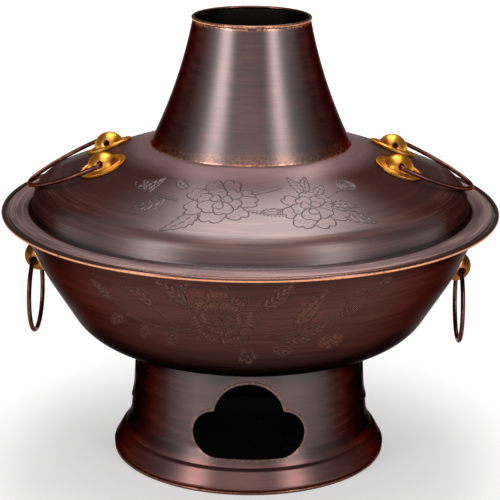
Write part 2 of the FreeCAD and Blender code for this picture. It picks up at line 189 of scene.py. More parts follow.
def noise(tree, vector, scale, detail=2.0, rough=0.5, w=None):
    return addNode(tree, "ShaderNodeTexNoise",
                   {"Vector": vector, "W": w, "Scale": scale, "Detail": detail, "Roughness": rough},
                   noise_dimensions="3D" if w is None else "4D").outputs["Fac"]


def combine(tree, x, y, z):
    return addNode(tree, "ShaderNodeCombineXYZ", {0: x, 1: y, 2: z}).outputs[0]


def separate(tree, vector):
    return addNode(tree, "ShaderNodeSeparateXYZ", {0: vector}).outputs


def greyLevel(tree, value):
    return combine(tree, value, value, value)


def bumped(tree, height, strength, distance):
    return addNode(tree, "ShaderNodeBump", {"Strength": strength, "Distance": distance,
                                            "Height": height}).outputs[0]


def newMaterial(name):
    material = bpy.data.materials.new(name)
    material.use_nodes = True
    return material, material.node_tree, material.node_tree.nodes["Principled BSDF"]


def placeOn(tree):                       # the point on the piece, in metres
    return addNode(tree, "ShaderNodeTexCoord").outputs["Object"]


def onPiece(tree):
    # where a point is on the piece, in mm: x, y, z and its distance from the axis;
    # east and north: the way from the axis to it
    coords = addNode(tree, "ShaderNodeTexCoord")
    x, y, z = (calc(tree, "DIVIDE", out, mm) for out in separate(tree, coords.outputs["Object"]))
    radius = calc(tree, "SQRT", plus(tree, times(tree, x, x), times(tree, y, y)))
    safe = largest(tree, radius, 0.01)       # never a division by nothing
    return {"coords": coords, "place": coords.outputs["Object"], "x": x, "y": y, "z": z,
            "radius": radius, "east": calc(tree, "DIVIDE", x, safe),
            "north": calc(tree, "DIVIDE", y, safe)}


def outwardness(tree, at):               # how far a face looks away from the axis, -1 to 1
    normal = separate(tree, at["coords"].outputs["Normal"])
    return plus(tree, times(tree, normal[0], at["east"]), times(tree, normal[1], at["north"]))


def facingIn(tree, at, span=(-0.05, -0.3)):      # 1 on faces that look towards the axis
    return ramp(tree, outwardness(tree, at), *span)


def brushLines(tree, at, perMm, alongTurn, detail=3.0, rough=0.6):
    # fine lines that run round the axis, as a scouring pad leaves them on turning work
    vector = combine(tree, times(tree, at["radius"], perMm), times(tree, at["z"], perMm),
                     times(tree, at["east"], alongTurn))
    return noise(tree, vector, 1.0, detail, rough, w=times(tree, at["north"], alongTurn))


# floor

floorSetup = {
    "radius": 14.0, "sides": 96,
    "pale": (0.82, 0.82, 0.82), "paler": (0.85, 0.85, 0.85), "cloudNoise": (3.0, 3.0),
    "roughness": 0.7, "specular": 0.2,
    # light added where the floor is looked at: from so many metres to so many, how much there
    "lift": ((0.35, 1.5), (0.35, 1.0)),
}


def makePaleFloor(setup):
    material, tree, shader = newMaterial("paleFloor")
    place = placeOn(tree)
    colour = mixColour(tree, noise(tree, place, *setup["cloudNoise"]), setup["pale"],
                       setup["paler"])
    ray = addNode(tree, "ShaderNodeLightPath").outputs
    seen = largest(tree, ray["Is Camera Ray"],
                   largest(tree, ray["Is Glossy Ray"], ray["Is Transmission Ray"]))
    away = addNode(tree, "ShaderNodeVectorMath", {0: place}, operation="LENGTH").outputs["Value"]
    feedAll(tree, shader, {
        "Base Color": colour, "Roughness": setup["roughness"],
        "Specular IOR Level": setup["specular"], "Emission Color": (1, 1, 1, 1),
        "Emission Strength": times(tree, seen, eased(tree, away, *setup["lift"]))})
    return material


def makeFloor(setup):
    shape = bmesh.new()
    bmesh.ops.create_circle(shape, cap_ends=True, cap_tris=True, segments=setup["sides"],
                            radius=setup["radius"])
    bmesh.ops.recalc_face_normals(shape, faces=shape.faces)
    mesh = bpy.data.meshes.new("studioFloor")
    shape.to_mesh(mesh)
    shape.free()
    floor = bpy.data.objects.new("studioFloor", mesh)
    scene.collection.objects.link(floor)
    mesh.materials.append(makePaleFloor(setup))


# the copper sheets' patina

copperLook = {
    "red": (0.170, 0.050, 0.032),
    "worn": (0.78, 0.35, 0.18),              # bare copper where the patina is rubbed through
    "wornDeep": (0.38, 0.115, 0.048),
    "streak": (0.30, 0.125, 0.100), "streakShare": 0.35,
    "soot": (0.0060, 0.0024, 0.0018), "sootRough": 0.45,
    "tin": (0.46, 0.45, 0.43), "tinDull": (0.33, 0.29, 0.25),
    "roughness": (0.30, 0.42), "lacquerRough": 0.34, "underLacquer": 0.05,
    # brush lines: how many to a mm, how broken along the turn, detail
    "fine": (1.1, 2.2, 3.0), "broad": (0.22, 3.08, 2.0), "fineShare": 0.55,
    "blotches": (520.0, 4.0, 0.62), "clouds": (24.0, 3.0, 0.5),    # scale, detail, roughness
    # levels of the noise at which a colour starts and is full
    "lined": (0.34, 0.66), "redLines": (0.52, 0.72), "redClouds": (0.42, 0.70),
    "rubbed": (0.40, 0.60), "wiped": (0.40, 0.64),
    "turning": (0.6, 0.25),                  # how much the lines stretch a highlight, and its turn
    "grainShare": 0.7, "grain": (0.22, 0.00025),     # bump of lines and blotches
    "straightOn": (0.0, 0.07),               # facing from and to which frontOn fades
}
# each piece's patina: dark in the brush lines and brown between them, its glint seen edge-on
# (edgeOn), and its lacquer, which thins as the sheet turns to its side (thin) and may be less
# where it faces the eye (frontOn)
lidLook = {
    "dark": (0.084, 0.032, 0.029), "brown": (0.104, 0.040, 0.035), "redness": 0.16,
    "metal": 0.62, "edgeOn": (0.075, 0.036, 0.031), "bareRough": 0.22,
    "lacquer": 0.95, "thin": (0.38, 0.57), "frontOn": 1.0, "lacquerIndex": 1.8,
}
chimneyLook = {
    "dark": (0.078, 0.031, 0.029), "brown": (0.128, 0.051, 0.048), "redness": 0.60,
    "metal": 1.0, "edgeOn": (0.26, 0.17, 0.16),
    "lacquer": 1.0, "thin": (0.14, 0.38), "frontOn": 0.42, "lacquerIndex": 2.1,
}
bowlLook = {
    "dark": (0.074, 0.031, 0.0275), "brown": (0.110, 0.046, 0.041), "redness": 0.20,
    "metal": 1.0, "edgeOn": (0.28, 0.25, 0.24),
    "lacquer": 0.01, "thin": (0.30, 0.60), "frontOn": 1.0, "lacquerIndex": 1.8,
}
footLook = {
    "dark": (0.044, 0.0160, 0.0145), "brown": (0.070, 0.026, 0.024), "redness": 0.30,
    "metal": 1.0, "edgeOn": (0.11, 0.065, 0.058),
    "lacquer": 0.72, "thin": (0.14, 0.38), "frontOn": 1.0, "lacquerIndex": 1.8,
}


def patinaColour(tree, at, piece, fine, broad, blotches, marks):
    look = copperLook
    clouds = noise(tree, at["place"], *look["clouds"])
    lined = blend(tree, fine, broad, look["fineShare"])
    colour = fade(tree, lined, look["lined"], piece["dark"], piece["brown"])
    redness = times(tree, ramp(tree, broad, *look["redLines"]),
                    ramp(tree, clouds, *look["redClouds"]), piece["redness"])
    colour = mixColour(tree, redness, colour, look["red"])
    if "streaks" in marks:
        streaks = times(tree, marks["streaks"](tree, at, fine, broad), look["streakShare"])
        colour = mixColour(tree, streaks, colour, look["streak"])
    # painted light and shade: the colour multiplied by the piece's tint
    if "shade" in marks:
        colour = mixColour(tree, 1.0, colour, marks["shade"](tree, at), "MULTIPLY")
    if "glow" in marks:
        colour = mixColour(tree, marks["glow"](tree, at, blotches), colour, look["wornDeep"])
    # worn copper; on the lid it also paints the fold's highlight
    if "wear" in marks:
        rubbed = fade(tree, blotches, look["rubbed"], look["wornDeep"], look["worn"])
        colour = mixColour(tree, marks["wear"](tree, at, blotches), colour, rubbed)
    return colour, spread(tree, lined, *look["roughness"])


def lacquerOver(tree, piece):            # thick where the sheet faces the eye, gone side-on
    facing = addNode(tree, "ShaderNodeLayerWeight", {"Blend": 0.5}).outputs["Facing"]
    low, high = piece["thin"]
    lacquer = times(tree, ramp(tree, facing, high, low), piece["lacquer"])
    if piece["frontOn"] < 1:
        front = ramp(tree, facing, *copperLook["straightOn"])
        lacquer = times(tree, lacquer, spread(tree, front, piece["frontOn"], 1.0))
    return lacquer


def makePatina(name, piece, inside, lining="soot", **marks):
    # inside gives a mask of the sheet's inner side; marks: functions that give the masks of
    # streaks, glow, wear and bareness, and the tint of painted light and shade
    look = copperLook
    material, tree, shader = newMaterial(name)
    at = onPiece(tree)
    fine, broad = brushLines(tree, at, *look["fine"]), brushLines(tree, at, *look["broad"])
    blotches = noise(tree, at["place"], *look["blotches"])
    colour, roughness = patinaColour(tree, at, piece, fine, broad, blotches, marks)
    metallic = piece["metal"]
    if "bareness" in marks:
        stripped = marks["bareness"](tree, at)
        metallic = spread(tree, stripped, piece["metal"], 1.0)
        roughness = plus(tree, roughness, times(tree, stripped, piece["bareRough"]))
    hidden = inside(tree, at)
    if lining == "tin":
        wiped = fade(tree, blotches, look["wiped"], look["tin"], look["tinDull"])
        colour = mixColour(tree, hidden, colour, wiped)
    else:
        colour = mixColour(tree, hidden, colour, look["soot"])
        roughness = plus(tree, roughness, times(tree, hidden, look["sootRough"]))
        metallic = calc(tree, "SUBTRACT", metallic, hidden, clamp=True)
    stretched, turn = look["turning"]
    around = addNode(tree, "ShaderNodeTangent", direction_type="RADIAL", axis="Z")
    grain = blend(tree, fine, blotches, look["grainShare"])
    feedAll(tree, shader, {
        "Base Color": colour, "Roughness": roughness, "Metallic": metallic,
        "Anisotropic": stretched, "Anisotropic Rotation": turn, "Tangent": around.outputs[0],
        "Specular Tint": (*piece["edgeOn"], 1), "Specular IOR Level": look["underLacquer"],
        "Coat Weight": lacquerOver(tree, piece), "Coat Roughness": look["lacquerRough"],
        "Coat IOR": piece["lacquerIndex"], "Normal": bumped(tree, grain, *look["grain"])})
    return material


def liningMask(tree, at):                # stored on the sheet by spinTree
    return addNode(tree, "ShaderNodeAttribute", attribute_name="lining").outputs["Fac"]


def worn(tree, value, blotches, span, levels, strength):
    return times(tree, ramp(tree, value, *span), ramp(tree, blotches, *levels), strength)


# marks on each piece. First the mm from the axis, or above the table, at which a mark starts and
# is full; then either the levels of noise between which it breaks up and its strength, or what the
# colour is multiplied by to paint light and shade: a colour, or two greys for before the mark and
# in it
lidMarks = {
    # painted light on the lower dome and wall
    "wall": ((118.0, 134.0), (1.0, 1.18)),
    "seat": ((88.0, 68.0), (3.5, 5.4, 6.2)),         # painted highlight round the chimney's seat, paler than the dome
    # painted shade in the crease at the foot of the wall
    "crease": ((169.5, 166.0), (0.36, 0.30, 0.30)),
    "brim": ((142.0, 144.5), (3.2, 5.5, 6.2)),       # painted highlight on the brim, as pale as the seat
    "bare": (122.0, 138.0),                          # wall and brim, polished down to the metal
    "edge": ((154.2, 155.3), (0.46, 0.60), 0.25),
    # fold: worn copper that also paints the fold's highlight
    "fold": (141.6, 142.8, 1.2), "foldLevels": (0.45, 0.70), "foldWearAndSheen": 0.10,
    "streaks": (108.0, 130.0), "streakBroad": (0.36, 0.58), "streakFine": (0.40, 0.62),
}


# painted light on the wall, seat and brim, and painted shade in the crease
def lidPaintedLightAndShade(tree, at):
    tint = greyLevel(tree, eased(tree, at["radius"], *lidMarks["wall"]))
    for mark, way in (("seat", "radius"), ("crease", "z"), ("brim", "radius")):
        span, pale = lidMarks[mark]
        tint = fade(tree, at[way], span, tint, pale)
    return tint


def lidBareness(tree, at):
    return ramp(tree, at["radius"], *lidMarks["bare"])


def lidWearAndFoldSheen(tree, at, blotches):
    # worn copper at the edge, and at the fold, where it also paints the fold's highlight
    fold = times(tree, between(tree, at["radius"], *lidMarks["fold"]),
                 ramp(tree, blotches, *lidMarks["foldLevels"]), lidMarks["foldWearAndSheen"])
    return largest(tree, worn(tree, at["radius"], blotches, *lidMarks["edge"]), fold)


def lidStreaks(tree, at, fine, broad):
    return times(tree, ramp(tree, at["radius"], *lidMarks["streaks"]),
                 ramp(tree, broad, *lidMarks["streakBroad"]),
                 ramp(tree, fine, *lidMarks["streakFine"]))


bowlMarks = {
    "low": ((84.0, 116.0), (0.06, 1.0)),             # painted shade, darker towards the bottom of the bowl
    # painted shade in the band under the rim
    "high": ((142.0, 160.0), (1.0, 0.66)),
    "groove": ((152.0, 155.0), (1.0, 0.25)),         # painted shade in the groove under the rim
    "flange": ((153.0, 156.5), (0.40, 0.58), 0.08),
    # warm patches on the flowers: bearing and half width in degrees, lowest, highest, softness
    # in mm, strength
    "rosette": (22.9, 2.8, 109.8, 115.4, 2.5, 0.50),
    "petal": (-10.2, 4.0, 143.0, 151.0, 5.0, 0.16),
    "leaf": (15.0, 2.5, 133.0, 142.0, 5.0, 0.16),
    "patchLevels": (0.36, 0.56),
    "patchEdge": (1.5, 0.4),             # where a patch starts and is full, in half widths
}


# painted shade: darker towards the bottom, under the rim and in the groove
def bowlPaintedShade(tree, at):
    low, high = (eased(tree, at["z"], *bowlMarks[mark]) for mark in ("low", "high"))
    return greyLevel(tree, times(tree, low, high, eased(tree, at["radius"], *bowlMarks["groove"])))


def bowlWear(tree, at, blotches):
    return worn(tree, at["radius"], blotches, *bowlMarks["flange"])


def warmPatch(tree, at, bearing, halfWidth, low, high, soft, strength):
    # round a bearing from the front, and again from the back
    turn = math.radians(bearing)
    line = minus(tree, times(tree, at["east"], math.sin(turn)),
                 times(tree, at["north"], math.cos(turn)))
    outer, inner = (math.cos(math.radians(halfWidth * share)) for share in bowlMarks["patchEdge"])
    near = ramp(tree, calc(tree, "ABSOLUTE", line), outer, inner)
    return times(tree, near, between(tree, at["z"], low, high, soft), strength)


def bowlGlow(tree, at, blotches):
    rosette, petal, leaf = (warmPatch(tree, at, *bowlMarks[mark])
                            for mark in ("rosette", "petal", "leaf"))
    return times(tree, plus(tree, rosette, plus(tree, petal, leaf)),
                 ramp(tree, blotches, *bowlMarks["patchLevels"]))


chimneyMarks = {
    "foot": (207.7, 207.1), "footLevels": ((0.38, 0.60), (0.35, 0.90)),
    "specks": (215.0, 207.0), "speckNoise": (1050.0, 3.0, 0.6), "speckGather": 0.10,
    "speckLevels": (0.66, 0.72), "speckWear": 0.45,
    "mouth": (284.0, 286.0), "mouthLevels": (0.42, 0.58),
    "band": ((216.0, 207.5), (0.40, 0.62), 0.75),
}


def chimneyWear(tree, at, blotches):
    marks = chimneyMarks
    foot = times(tree, ramp(tree, at["z"], *marks["foot"]),
                 eased(tree, blotches, *marks["footLevels"]))
    height = ramp(tree, at["z"], *marks["specks"])
    grains = noise(tree, at["place"], *marks["speckNoise"])
    gathered = plus(tree, grains, times(tree, height, marks["speckGather"]))
    specks = times(tree, ramp(tree, gathered, *marks["speckLevels"]), height, marks["speckWear"])
    mouth = times(tree, ramp(tree, at["z"], *marks["mouth"]),
                  ramp(tree, blotches, *marks["mouthLevels"]))
    return largest(tree, foot, largest(tree, specks, mouth))


def chimneyGlow(tree, at, blotches):
    return worn(tree, at["z"], blotches, *chimneyMarks["band"])


footOpenings = {                         # mm; clouds in front and behind, round vents at the sides
    "crownRadius": 22.4, "crownHeight": 46.3,
    "lobeRadius": 14.8, "lobeSpread": 20.5, "lobeHeight": 35.4, "sill": 20.6,
    "ventRadius": 12.0, "ventHeight": 46.5,
}
footMarks = {
    "neck": ((74.0, 62.0), (0.30, 1.0)),             # painted shade under the bowl
    "skirt": ((21.0, 15.0), (2.7, 2.2, 2.1)),        # painted light, the skirt made paler
    "lip": ((2.6, 0.9), (0.40, 0.62), 0.16),         # mm from an opening's edge
    "hem": ((4.2, 2.6), (0.44, 0.60), 0.18),
    "smudge": (7.0, 1.5), "smudgeHeight": (60.0, 68.0),
    "smudgeLevels": ((0.38, 0.60), (0.04, 0.20)),
}


# painted shade on the neck under the bowl, painted light on the skirt
def footPaintedLightAndShade(tree, at):
    span, pale = footMarks["skirt"]
    neck = greyLevel(tree, eased(tree, at["z"], *footMarks["neck"]))
    return fade(tree, at["z"], span, neck, pale)


def openingDistance(tree, at):           # mm outside the edge of the nearest air opening
    def away(u, across, z, radius):
        du, dz = minus(tree, u, across), minus(tree, at["z"], z)
        square = plus(tree, times(tree, du, du), times(tree, dz, dz))
        return minus(tree, calc(tree, "SQRT", square), radius)

    shape = footOpenings
    aside, ahead = calc(tree, "ABSOLUTE", at["x"]), calc(tree, "ABSOLUTE", at["y"])
    middle = (shape["crownHeight"] + shape["sill"]) / 2
    beside = minus(tree, aside, shape["lobeSpread"])
    above = minus(tree, calc(tree, "ABSOLUTE", minus(tree, at["z"], middle)),
                  shape["crownHeight"] - middle)
    cloud = calc(tree, "MINIMUM", away(aside, 0.0, shape["crownHeight"], shape["crownRadius"]),
                 away(aside, shape["lobeSpread"], shape["lobeHeight"], shape["lobeRadius"]))
    cloud = calc(tree, "MINIMUM", cloud, largest(tree, beside, above))
    vent = away(ahead, 0.0, shape["ventHeight"], shape["ventRadius"])
    atSide = calc(tree, "GREATER_THAN", aside, ahead)
    return plus(tree, cloud, times(tree, atSide, minus(tree, vent, cloud)))


def footWear(tree, at, blotches):
    return largest(tree, worn(tree, openingDistance(tree, at), blotches, *footMarks["lip"]),
                   worn(tree, at["z"], blotches, *footMarks["hem"]))


def footGlow(tree, at, blotches):
    smudge = times(tree, ramp(tree, openingDistance(tree, at), *footMarks["smudge"]),
                   ramp(tree, at["z"], *footMarks["smudgeHeight"]))
    return times(tree, smudge, eased(tree, blotches, *footMarks["smudgeLevels"]))


# finishes of the fittings and of what is inside; in each, a name that ends in Noise gives scale,
# detail and roughness, one that ends in Levels where a colour starts and is full

brassLook = {
    "castNoise": (420.0, 3.0, 0.55), "stainNoise": (90.0, 4.0, 0.6), "stainLevels": (0.62, 0.40),
    "pit": (0.10, 0.045, 0.02), "pitLevels": (0.70, 0.76), "pitShare": 0.6,
    "roughness": (0.16, 0.32), "edgeOn": (0.80, 0.52, 0.30), "cast": (0.20, 0.0004),
}
brassFittings = {                        # finish, bright, deep, how much it is dulled
    "lid_boss": ("lidBrass", (0.94, 0.45, 0.085), (0.68, 0.25, 0.030), 0.10),
    "lid_plate": ("lidPlateBrass", (0.86, 0.40, 0.075), (0.58, 0.21, 0.025), 0.10),
    "bowl_boss": ("bowlBrass", (0.44, 0.175, 0.050), (0.19, 0.068, 0.024), 0.12),
    "bowl_plate": ("bowlPlateBrass", (0.95, 0.52, 0.17), (0.55, 0.25, 0.07), 0.0),
    "lid_washers": ("washerBrass", (0.50, 0.36, 0.16), (0.30, 0.19, 0.08), 0.16),
}


def makeBrass(name, bright, deep, dulled):
    look = brassLook
    material, tree, shader = newMaterial(name)
    place = placeOn(tree)
    cast = noise(tree, place, *look["castNoise"])
    stain = noise(tree, place, *look["stainNoise"])
    colour = fade(tree, stain, look["stainLevels"], bright, deep)
    pits = times(tree, ramp(tree, cast, *look["pitLevels"]), look["pitShare"])
    smooth, rough = look["roughness"]
    feedAll(tree, shader, {
        "Base Color": mixColour(tree, pits, colour, look["pit"]),
        "Roughness": spread(tree, stain, smooth + dulled, rough + dulled), "Metallic": 1.0,
        "Specular Tint": (*look["edgeOn"], 1), "Normal": bumped(tree, cast, *look["cast"])})
    return material


wireLook = {
    "rubNoise": (330.0, 4.0, 0.65), "rubSoft": 0.1,
    "grainNoise": (900.0, 2.0), "grainLevels": (0.58, 0.70), "grainShare": 0.35,
    "outward": (0.3, 0.6), "beltSoft": 0.25, "rougher": 0.08, "smoother": 0.05,
    "edgeOn": (0.42, 0.30, 0.26), "coatRough": 0.15, "grain": (0.15, 0.0002),
}
wires = {
    # finish, dark, rubbed bright, level of noise at which it is rubbed, roughness, coat, and for a
    # rolled edge the lowest and highest upward lean of the faces that get rubbed
    "foot_edge_wire": ("hemWire", (0.11, 0.045, 0.036), (0.30, 0.12, 0.080),
                       0.46, 0.30, 0.25, (0.1, 1.0)),
    "bowl_rim_wire": ("rimWire", (0.170, 0.080, 0.068), (0.86, 0.37, 0.18),
                      0.36, 0.24, 0.30, (-0.6, 0.0)),
    "chimney_top_wire": ("mouthWire", (0.16, 0.065, 0.048), (0.72, 0.33, 0.18),
                         0.44, 0.26, 0.4, (-1.0, 0.6)),
    "bail": ("bailWire", (0.120, 0.043, 0.036), (0.195, 0.076, 0.062), 0.56, 0.28, 0.0),
    "ring": ("ringWire", (0.095, 0.030, 0.024), (0.165, 0.056, 0.044), 0.56, 0.20, 0.12),
}


def makeWireFinish(name, dark, bright, rubFrom, roughness, coat, belt=None):
    look = wireLook
    material, tree, shader = newMaterial(name)
    at = onPiece(tree)
    rubs = noise(tree, at["place"], *look["rubNoise"])
    grain = noise(tree, at["place"], *look["grainNoise"])
    rubbed = ramp(tree, rubs, rubFrom - look["rubSoft"], rubFrom + look["rubSoft"])
    if belt:
        upward = separate(tree, at["coords"].outputs["Normal"])[2]
        rubbed = times(tree, rubbed, ramp(tree, outwardness(tree, at), *look["outward"]),
                       between(tree, upward, *belt, look["beltSoft"]))
    colour = mixColour(tree, rubbed, dark, bright)
    dirt = times(tree, ramp(tree, grain, *look["grainLevels"]), look["grainShare"])
    feedAll(tree, shader, {
        "Base Color": mixColour(tree, dirt, colour, dark), "Metallic": 1.0,
        "Roughness": spread(tree, rubs, roughness + look["rougher"], roughness - look["smoother"]),
        "Specular Tint": (*look["edgeOn"], 1), "Coat Weight": coat,
        "Coat Roughness": look["coatRough"], "Normal": bumped(tree, grain, *look["grain"])})
    return material


ironLook = {
    "sandNoise": (1300.0, 3.0, 0.6), "scaleNoise": (160.0, 4.0, 0.6), "scaleLevels": (0.35, 0.70),
    "black": (0.018, 0.017, 0.017), "rust": (0.075, 0.040, 0.026),
    "roughness": (0.62, 0.85), "metallic": (0.7, 0.1), "sand": (0.5, 0.0006),
}


def makeCastIron():
    look = ironLook
    material, tree, shader = newMaterial("scorchedIron")
    place = placeOn(tree)
    sand = noise(tree, place, *look["sandNoise"])
    scale = noise(tree, place, *look["scaleNoise"])
    feedAll(tree, shader, {
        "Base Color": fade(tree, scale, look["scaleLevels"], look["black"], look["rust"]),
        "Roughness": spread(tree, scale, *look["roughness"]),
        "Metallic": spread(tree, scale, *look["metallic"]),
        "Normal": bumped(tree, sand, *look["sand"])})
    return material


sootLook = {
    "flakeNoise": (220.0, 5.0, 0.65), "flakeLevels": (0.3, 0.7),
    "driftNoise": (45.0, 3.0, 0.6), "driftLevels": (0.60, 0.72), "ash": (0.20, 0.19, 0.18),
    "black": (0.0012, 0.0010, 0.0009), "brown": (0.0050, 0.0032, 0.0024),
    "roughness": (0.75, 0.95), "metallic": ((0.5, 0.3), (0.0, 0.3)),
    "specular": 0.06, "flakes": (0.4, 0.0006),
}


def makeSootedCopper(name, ash):         # ash: how much of it lies on the soot
    look = sootLook
    material, tree, shader = newMaterial(name)
    place = placeOn(tree)
    flakes = noise(tree, place, *look["flakeNoise"])
    drift = noise(tree, place, *look["driftNoise"])
    colour = fade(tree, flakes, look["flakeLevels"], look["black"], look["brown"])
    ashy = times(tree, ramp(tree, drift, *look["driftLevels"]), ash)
    feedAll(tree, shader, {
        "Base Color": mixColour(tree, ashy, colour, look["ash"]),
        "Roughness": spread(tree, flakes, *look["roughness"]),
        "Metallic": eased(tree, flakes, *look["metallic"]),
        "Specular IOR Level": look["specular"], "Normal": bumped(tree, flakes, *look["flakes"])})
    return material


tinLook = {
    "lines": (0.7, 1.6), "spotNoise": (120.0, 4.0, 0.6), "spotLevels": (0.40, 0.66),
    "soot": (0.006, 0.005, 0.004), "roughness": (0.26, 0.46), "sootRough": 0.45,
    "wipe": (0.15, 0.0003),
}


def makeTin(name, facing=None):
    # bright wiped tin; on the fire tube the side that faces the charcoal is sooty
    look = tinLook
    material, tree, shader = newMaterial(name)
    at = onPiece(tree)
    wipe = brushLines(tree, at, *look["lines"])
    spots = noise(tree, at["place"], *look["spotNoise"])
    colour = fade(tree, spots, look["spotLevels"], copperLook["tin"], copperLook["tinDull"])
    roughness = spread(tree, wipe, *look["roughness"])
    if facing:
        hidden = facing(tree, at)
        colour = mixColour(tree, hidden, colour, look["soot"])
        roughness = plus(tree, roughness, times(tree, hidden, look["sootRough"]))
    feedAll(tree, shader, {"Base Color": colour, "Roughness": roughness, "Metallic": 1.0,
                           "Normal": bumped(tree, wipe, *look["wipe"])})
    return material


# spun sheets: lid, bowl and chimney

sheetSetup = {
    "turnStep": 5, "longestStep": 2.5,   # degrees and mm between points on a rounded corner
    "fewestSteps": 4,
    "trimShare": 0.48,       # a corner takes at most this share of the shorter side beside it
    "sharpEdge": 38,         # degrees from which an edge stays sharp
    "weld": 0.00001,         # metres
}
# corners: radius, height, rounding
lidShape = {
    "sheet": 1.0, "segments": 288,
    "corners": [(155.5, 165, 0), (141.3, 165, 3), (138, 180, 13), (98, 196, 1500),
                (66.8, 206.6, 12), (59.8, 206.6, 1.5), (59.8, 212.2, 0)],
}
bowlShape = {
    "sheet": 1.2, "segments": 288,
    "corners": [(64, 75.5, 0), (79, 75.5, 30), (109.4, 87.4, 35), (134, 127.3, 80),
                (150, 162.8, 5), (156.95, 162.8, 0)],
}
chimneyShape = {
    "sheet": 1.0, "segments": 224, "rows": 40,
    "foot": (64.4, 206.6), "mouth": (37.4, 286.05), "bow": 2.8,
}


def roundedOutline(corners):             # corners to a fine line of points, from first to last
    def towards(a, b):
        gap = math.hypot(b[0] - a[0], b[1] - a[1])
        return ((b[0] - a[0]) / gap, (b[1] - a[1]) / gap), gap

    setup = sheetSetup
    points = [corners[0][:2]]
    for before, corner, after in zip(corners, corners[1:], corners[2:]):
        back, backLength = towards(corner, before)
        on, onLength = towards(corner, after)
        half = math.acos(max(-1.0, min(1.0, back[0] * on[0] + back[1] * on[1]))) / 2
        room = setup["trimShare"] * min(backLength, onLength)
        rounding = min(corner[2], room * math.tan(half))
        trim = rounding / math.tan(half)
        middle = (back[0] + on[0], back[1] + on[1])
        size = math.hypot(*middle)
        centre = (corner[0] + middle[0] / size * rounding / math.sin(half),
                  corner[1] + middle[1] / size * rounding / math.sin(half))
        start = (corner[0] + back[0] * trim, corner[1] + back[1] * trim)
        end = (corner[0] + on[0] * trim, corner[1] + on[1] * trim)
        low = math.atan2(start[1] - centre[1], start[0] - centre[0])
        sweep = math.atan2(end[1] - centre[1], end[0] - centre[0]) - low
        sweep = (sweep + math.pi) % (2 * math.pi) - math.pi
        steps = max(setup["fewestSteps"], math.ceil(abs(sweep) / math.radians(setup["turnStep"])),
                    math.ceil(abs(sweep) * rounding / setup["longestStep"]))
        bearings = [low + sweep * i / steps for i in range(steps + 1)]
        points += [(centre[0] + rounding * math.cos(bearing),
                    centre[1] + rounding * math.sin(bearing)) for bearing in bearings]
    return points + [corners[-1][:2]]


def chimneyOutline(shape):
    (r0, z0), (r1, z1) = shape["foot"], shape["mouth"]
    gap = math.hypot(r1 - r0, z1 - z0)
    aside = (-(z1 - z0) / gap, (r1 - r0) / gap)      # towards the axis
    points = []
    for i in range(shape["rows"] + 1):
        share = i / shape["rows"]
        bow = 4 * shape["bow"] * share * (1 - share)
        points.append((r0 + (r1 - r0) * share + aside[0] * bow,
                       z0 + (z1 - z0) * share + aside[1] * bow))
    return points


def withThickness(outer, sheet, levelEnds=False):
    # closes an outline with its inner side, sheet to the left of its travel
    inner = []
    for i, point in enumerate(outer):
        before, after = outer[max(i - 1, 0)], outer[min(i + 1, len(outer) - 1)]
        gap = math.hypot(after[0] - before[0], after[1] - before[1])
        inner.append((point[0] - (after[1] - before[1]) / gap * sheet,
                      point[1] + (after[0] - before[0]) / gap * sheet))
    if levelEnds:
        inner[0] = (inner[0][0], outer[0][1])
        inner[-1] = (inner[-1][0], outer[-1][1])
    loop = outer + inner[::-1] + [outer[0]]
    lining = [0.0] * len(outer) + [1.0] * len(inner) + [0.0]
    return loop, lining


def setInput(modifier, name, value):
    for item in modifier.node_group.interface.items_tree:
        if item.item_type == "SOCKET" and item.in_out == "INPUT" and item.name == name:
            modifier[item.identifier] = value
            return
    raise KeyError(name)


def startTree(name, inputs):
    tree = bpy.data.node_groups.new(name, "GeometryNodeTree")
    for label, kind in inputs.items():
        tree.interface.new_socket(label, in_out="INPUT", socket_type="NodeSocket" + kind)
    tree.interface.new_socket("Geometry", in_out="OUTPUT", socket_type="NodeSocketGeometry")
    return tree, addNode(tree, "NodeGroupInput").outputs


def endTree(tree, geometry, finish):
    real = addNode(tree, "GeometryNodeRealizeInstances", {0: geometry})
    dressed = addNode(tree, "GeometryNodeSetMaterial", {"Geometry": real.outputs[0],
                                                        "Material": finish})
    addNode(tree, "NodeGroupOutput", {0: dressed.outputs[0]})


def position(tree):
    return addNode(tree, "GeometryNodeInputPosition").outputs[0]


def readLayer(tree, name):
    return addNode(tree, "GeometryNodeInputNamedAttribute", {"Name": name},
                   data_type="FLOAT").outputs["Attribute"]


def storeLayer(tree, geometry, name, value):
    return addNode(tree, "GeometryNodeStoreNamedAttribute",
                   {"Geometry": geometry, "Name": name, "Value": value},
                   data_type="FLOAT", domain="POINT").outputs["Geometry"]


